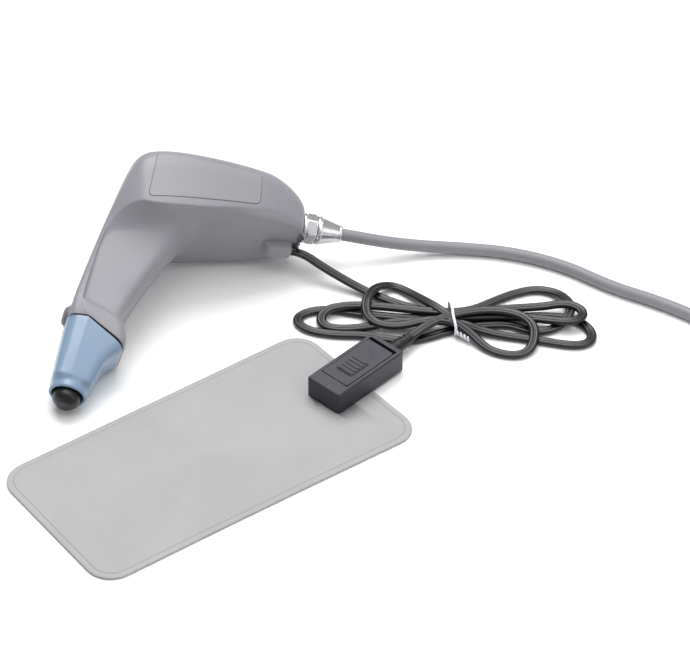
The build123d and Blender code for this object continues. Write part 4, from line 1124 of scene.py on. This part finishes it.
def plastic(name, light, dark, roughness, grain=2600.0, depth=3e-5, coat=0.0):
    """Moulded plastic: a slow cloud between two near tones, fine dust-like spots of the
    darker one, roughness that follows the cloud, and a fine spark-eroded grain."""
    finish = Finish(name, light, roughness, coat=coat)
    slow = finish.noise(28.0, 2.0)
    fine = finish.noise(grain, 2.0, 0.6)
    spots = finish.spread(finish.noise(640.0, 2.0, 0.7), 0.62, 0.8)
    share = finish.spread(slow, 0.3, 0.7, 0.0, 0.35) + spots * 0.12
    finish.set("Base Color", finish.mix(share, light, dark))
    scuff = finish.spread(finish.noise(95.0, 4.0, 0.65), 0.5, 0.75, 0.0, 0.1)
    finish.set("Roughness", slow * 0.06 + scuff + (roughness - 0.05))
    finish.bump(fine + slow * 0.4, depth, 0.6)
    return finish


def srgb(red, green, blue):
    """Linear colour from 0 to 255 display values."""
    part = np.array([red, green, blue]) / 255.0
    line = np.where(part <= 0.04045, part / 12.92, ((part + 0.055) / 1.055) ** 2.4)
    return tuple(float(v) for v in line)


def metal(name, light, dark, roughness):
    """Turned metal: fine rings and streaks from noise squeezed along one axis, worn lighter
    in a slow cloud."""
    finish = Finish(name, light, roughness, metallic=1.0)
    squeezed = finish.node(
        "ShaderNodeMapping", {}, {"Vector": finish.place, "Scale": (9.0, 1.0, 1.0)}
    )
    rings = finish.noise(420.0, 3.0, 0.6, squeezed)
    slow = finish.noise(60.0, 3.0)
    finish.set("Base Color", finish.mix(finish.spread(slow, 0.35, 0.7), light, dark))
    finish.set("Roughness", rings * 0.16 + slow * 0.1 + (roughness - 0.12))
    finish.bump(rings, 3e-6, 0.3)
    return finish


def cord_finish(name, light, dark, roughness, coat, ring_depth):
    """Cord sheath: faint bands along the length from the sheath's own map, a slow cloud of
    handling shine, and very fine grain."""
    finish = Finish(name, light, roughness, coat=coat)
    own = finish.node("ShaderNodeTexCoord", {}, {}, "UV")
    along = finish.node("ShaderNodeMapping", {}, {"Vector": own, "Scale": (60.0, 900.0, 1.0)})
    streak = finish.noise(1.0, 2.0, 0.5, along)
    slow = finish.noise(40.0, 3.0)
    finish.set("Base Color", finish.mix(streak * 0.5 + slow * 0.35, light, dark))
    finish.set("Roughness", slow * 0.12 + streak * 0.06 + (roughness - 0.08))
    finish.bump(finish.noise(1800.0, 2.0) + streak, ring_depth, 0.5)
    return finish


def pad_finish():
    """Soft film of the pad: a cloudy tone in two sizes, fine fibres drawn out along the pad,
    and a satin roughness that follows them."""
    light, dark = srgb(166, 165, 166), srgb(156, 155, 157)
    finish = Finish("pad_film", light, 0.6, coat=0.0)
    slow = finish.noise(14.0, 4.0, 0.6)
    middle = finish.noise(70.0, 3.0, 0.6)
    turn = {"Vector": finish.place, "Rotation": (0.0, 0.0, -PAD_TURN), "Scale": (1.0, 7.0, 1.0)}
    fibres = finish.noise(520.0, 3.0, 0.65, finish.node("ShaderNodeMapping", {}, turn))
    share = finish.spread(slow, 0.32, 0.68, 0.0, 0.6) + middle * 0.25 + fibres * 0.15
    finish.set("Base Color", finish.mix(share, light, dark))
    finish.set("Roughness", middle * 0.15 + fibres * 0.1 + 0.48)
    finish.bump(fibres + middle * 2.0, 6e-5, 0.5)
    return finish


def board_finish():
    """Circuit board: solder mask with copper tracks seen through it as a grid of rounded
    patches, the product of two sines."""
    finish = Finish("board_green", srgb(24, 92, 60), 0.35, coat=0.3)
    x, y = finish.axis(0), finish.axis(1)
    stripes = (x * 900.0).sine() * (y * 700.0).sine()
    tracks = finish.spread(stripes, 0.2, 0.35)
    finish.set("Base Color", finish.mix(tracks, srgb(20, 84, 54), srgb(46, 122, 78)))
    finish.bump(tracks, 4e-5, 0.5)
    finish.set("Roughness", tracks * 0.1 + finish.noise(200.0) * 0.1 + 0.28)
    return finish


def winding_finish():
    """Enamelled copper wire laid side by side: a sine along the winding's height as relief and
    as painted shade, darker in the grooves between wires and lighter on their crests."""
    finish = Finish("winding_copper", srgb(186, 98, 52), 0.3, metallic=0.85, coat=0.3)
    z = finish.axis(2)
    wires = (z * 9000.0).sine() * 0.5 + 0.5
    # The same wire sine colours the winding: painted shade in the grooves between wires and
    # lighter crests.
    finish.set("Base Color", finish.mix(wires, srgb(120, 56, 30), srgb(200, 112, 62)))
    finish.bump(wires, 1.5e-4, 0.7)
    finish.set("Roughness", finish.noise(300.0) * 0.15 + 0.22)
    return finish


PLASTICS = [
    ("handle_grey", (140, 138, 144), (128, 126, 134), 0.42, {"coat": 0.08}),
    ("panel_grey", (143, 142, 146), (136, 134, 140), 0.48, {"grain": 3400.0}),
    ("nose_blue", (124, 147, 172), (112, 136, 162), 0.32, {"coat": 0.25}),
    ("button_grey", (110, 106, 112), (96, 92, 98), 0.42, {}),
    ("electrode_black", (9, 9, 10), (5, 5, 6), 0.34, {}),
    ("seal_rubber", (18, 18, 22), (10, 10, 12), 0.6, {}),
    ("clamp_charcoal", (42, 41, 52), (34, 33, 43), 0.5, {"depth": 5e-5}),
    ("insulator_white", (232, 230, 224), (215, 212, 205), 0.4, {}),
    ("ferrite", (70, 68, 70), (48, 46, 48), 0.65, {"depth": 6e-5}),
    ("plug_black", (42, 42, 46), (28, 28, 32), 0.48, {}),
    ("pad_gel", (190, 190, 190), (172, 172, 174), 0.35, {"depth": 8e-5, "coat": 0.2}),
    ("tie_paper", (226, 223, 234), (205, 202, 216), 0.6, {"depth": 6e-5}),
]
METALS = [
    ("gland_metal", (226, 226, 228), (204, 204, 208), 0.24),
    ("fastener_steel", (190, 190, 194), (165, 165, 170), 0.34),
    ("contact_brass", (226, 190, 120), (205, 165, 95), 0.3),
]
FINISHES = {
    "hose_grey": cord_finish(
        "hose_grey", srgb(138, 137, 142), srgb(126, 125, 131), 0.48, 0.0, 3e-5
    ),
    "lead_black": cord_finish("lead_black", srgb(15, 14, 19), srgb(8, 8, 11), 0.34, 0.1, 2e-5),
    "pad_film": pad_finish(),
    "board_green": board_finish(),
    "winding_copper": winding_finish(),
}
for name, light, dark, roughness, more in PLASTICS:
    FINISHES[name] = plastic(name, srgb(*light), srgb(*dark), roughness, **more)
for name, light, dark, roughness in METALS:
    FINISHES[name] = metal(name, srgb(*light), srgb(*dark), roughness)


def wear(piece, finish):
    """Gives a piece its one material."""
    piece.data.materials.clear()
    piece.data.materials.append(finish.material)


for subpart in frame["record"]["subparts"]:
    wear(frame["nodes"][subpart["node"]], FINISHES[subpart["material_slot"]])
for piece in list(bpy.data.objects):
    if piece.type == "MESH" and "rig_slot" in piece:
        wear(piece, FINISHES[piece["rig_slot"]])

# ------------------------------------------------------------------ floor, light, camera
FLOOR_REACH = 6000.0
WORLD_STRENGTH = 0.44
floor_corners = [
    (x * FLOOR_REACH, y * FLOOR_REACH, 0) for x, y in ((-1, -1), (1, -1), (1, 1), (-1, 1))
]
floor_piece = add_mesh("floor", floor_corners, [(0, 1, 2, 3)])
wear(floor_piece, Finish("floor_pale", (0.97, 0.97, 0.97), 0.85))


def soft_light(name, spot, aim, size, power):
    """A square area light at a spot, turned to its aim, both in metres."""
    data = bpy.data.lights.new(name, "AREA")
    data.shape = "SQUARE"
    data.size = size
    data.energy = power
    lamp = bpy.data.objects.new(name, data)
    bpy.context.scene.collection.objects.link(lamp)
    lamp.location = spot
    lamp.rotation_euler = (Vector(aim) - Vector(spot)).to_track_quat("-Z", "Y").to_euler()


SCENE_MIDDLE = (0.07, 0.1, 0.0)
soft_light("key_light", (-0.1, 1.0, 1.7), SCENE_MIDDLE, 1.3, 27.0)
soft_light("fill_light", (1.3, -0.8, 0.9), SCENE_MIDDLE, 1.2, 5.0)
soft_light("top_light", (0.3, 0.1, 2.0), SCENE_MIDDLE, 2.0, 22.0)
world = bpy.data.worlds.new("studio")
world.use_nodes = True
background = world.node_tree.nodes["Background"]
background.inputs[0].default_value = (1.0, 1.0, 1.0, 1.0)
background.inputs[1].default_value = WORLD_STRENGTH
bpy.context.scene.world = world

camera_data = bpy.data.cameras.new("main_camera")
camera_data.lens = 182.6
camera_data.sensor_width = 36.0
camera_data.clip_start = 0.05
camera_data.clip_end = 40.0
camera = bpy.data.objects.new("main_camera", camera_data)
bpy.context.scene.collection.objects.link(camera)
camera.location = (0.0731, -1.3881, 1.2555)
camera.rotation_euler = (math.radians(49.8), 0.0, 0.0)
bpy.context.scene.camera = camera
bpy.context.scene.view_settings.view_transform = "Standard"
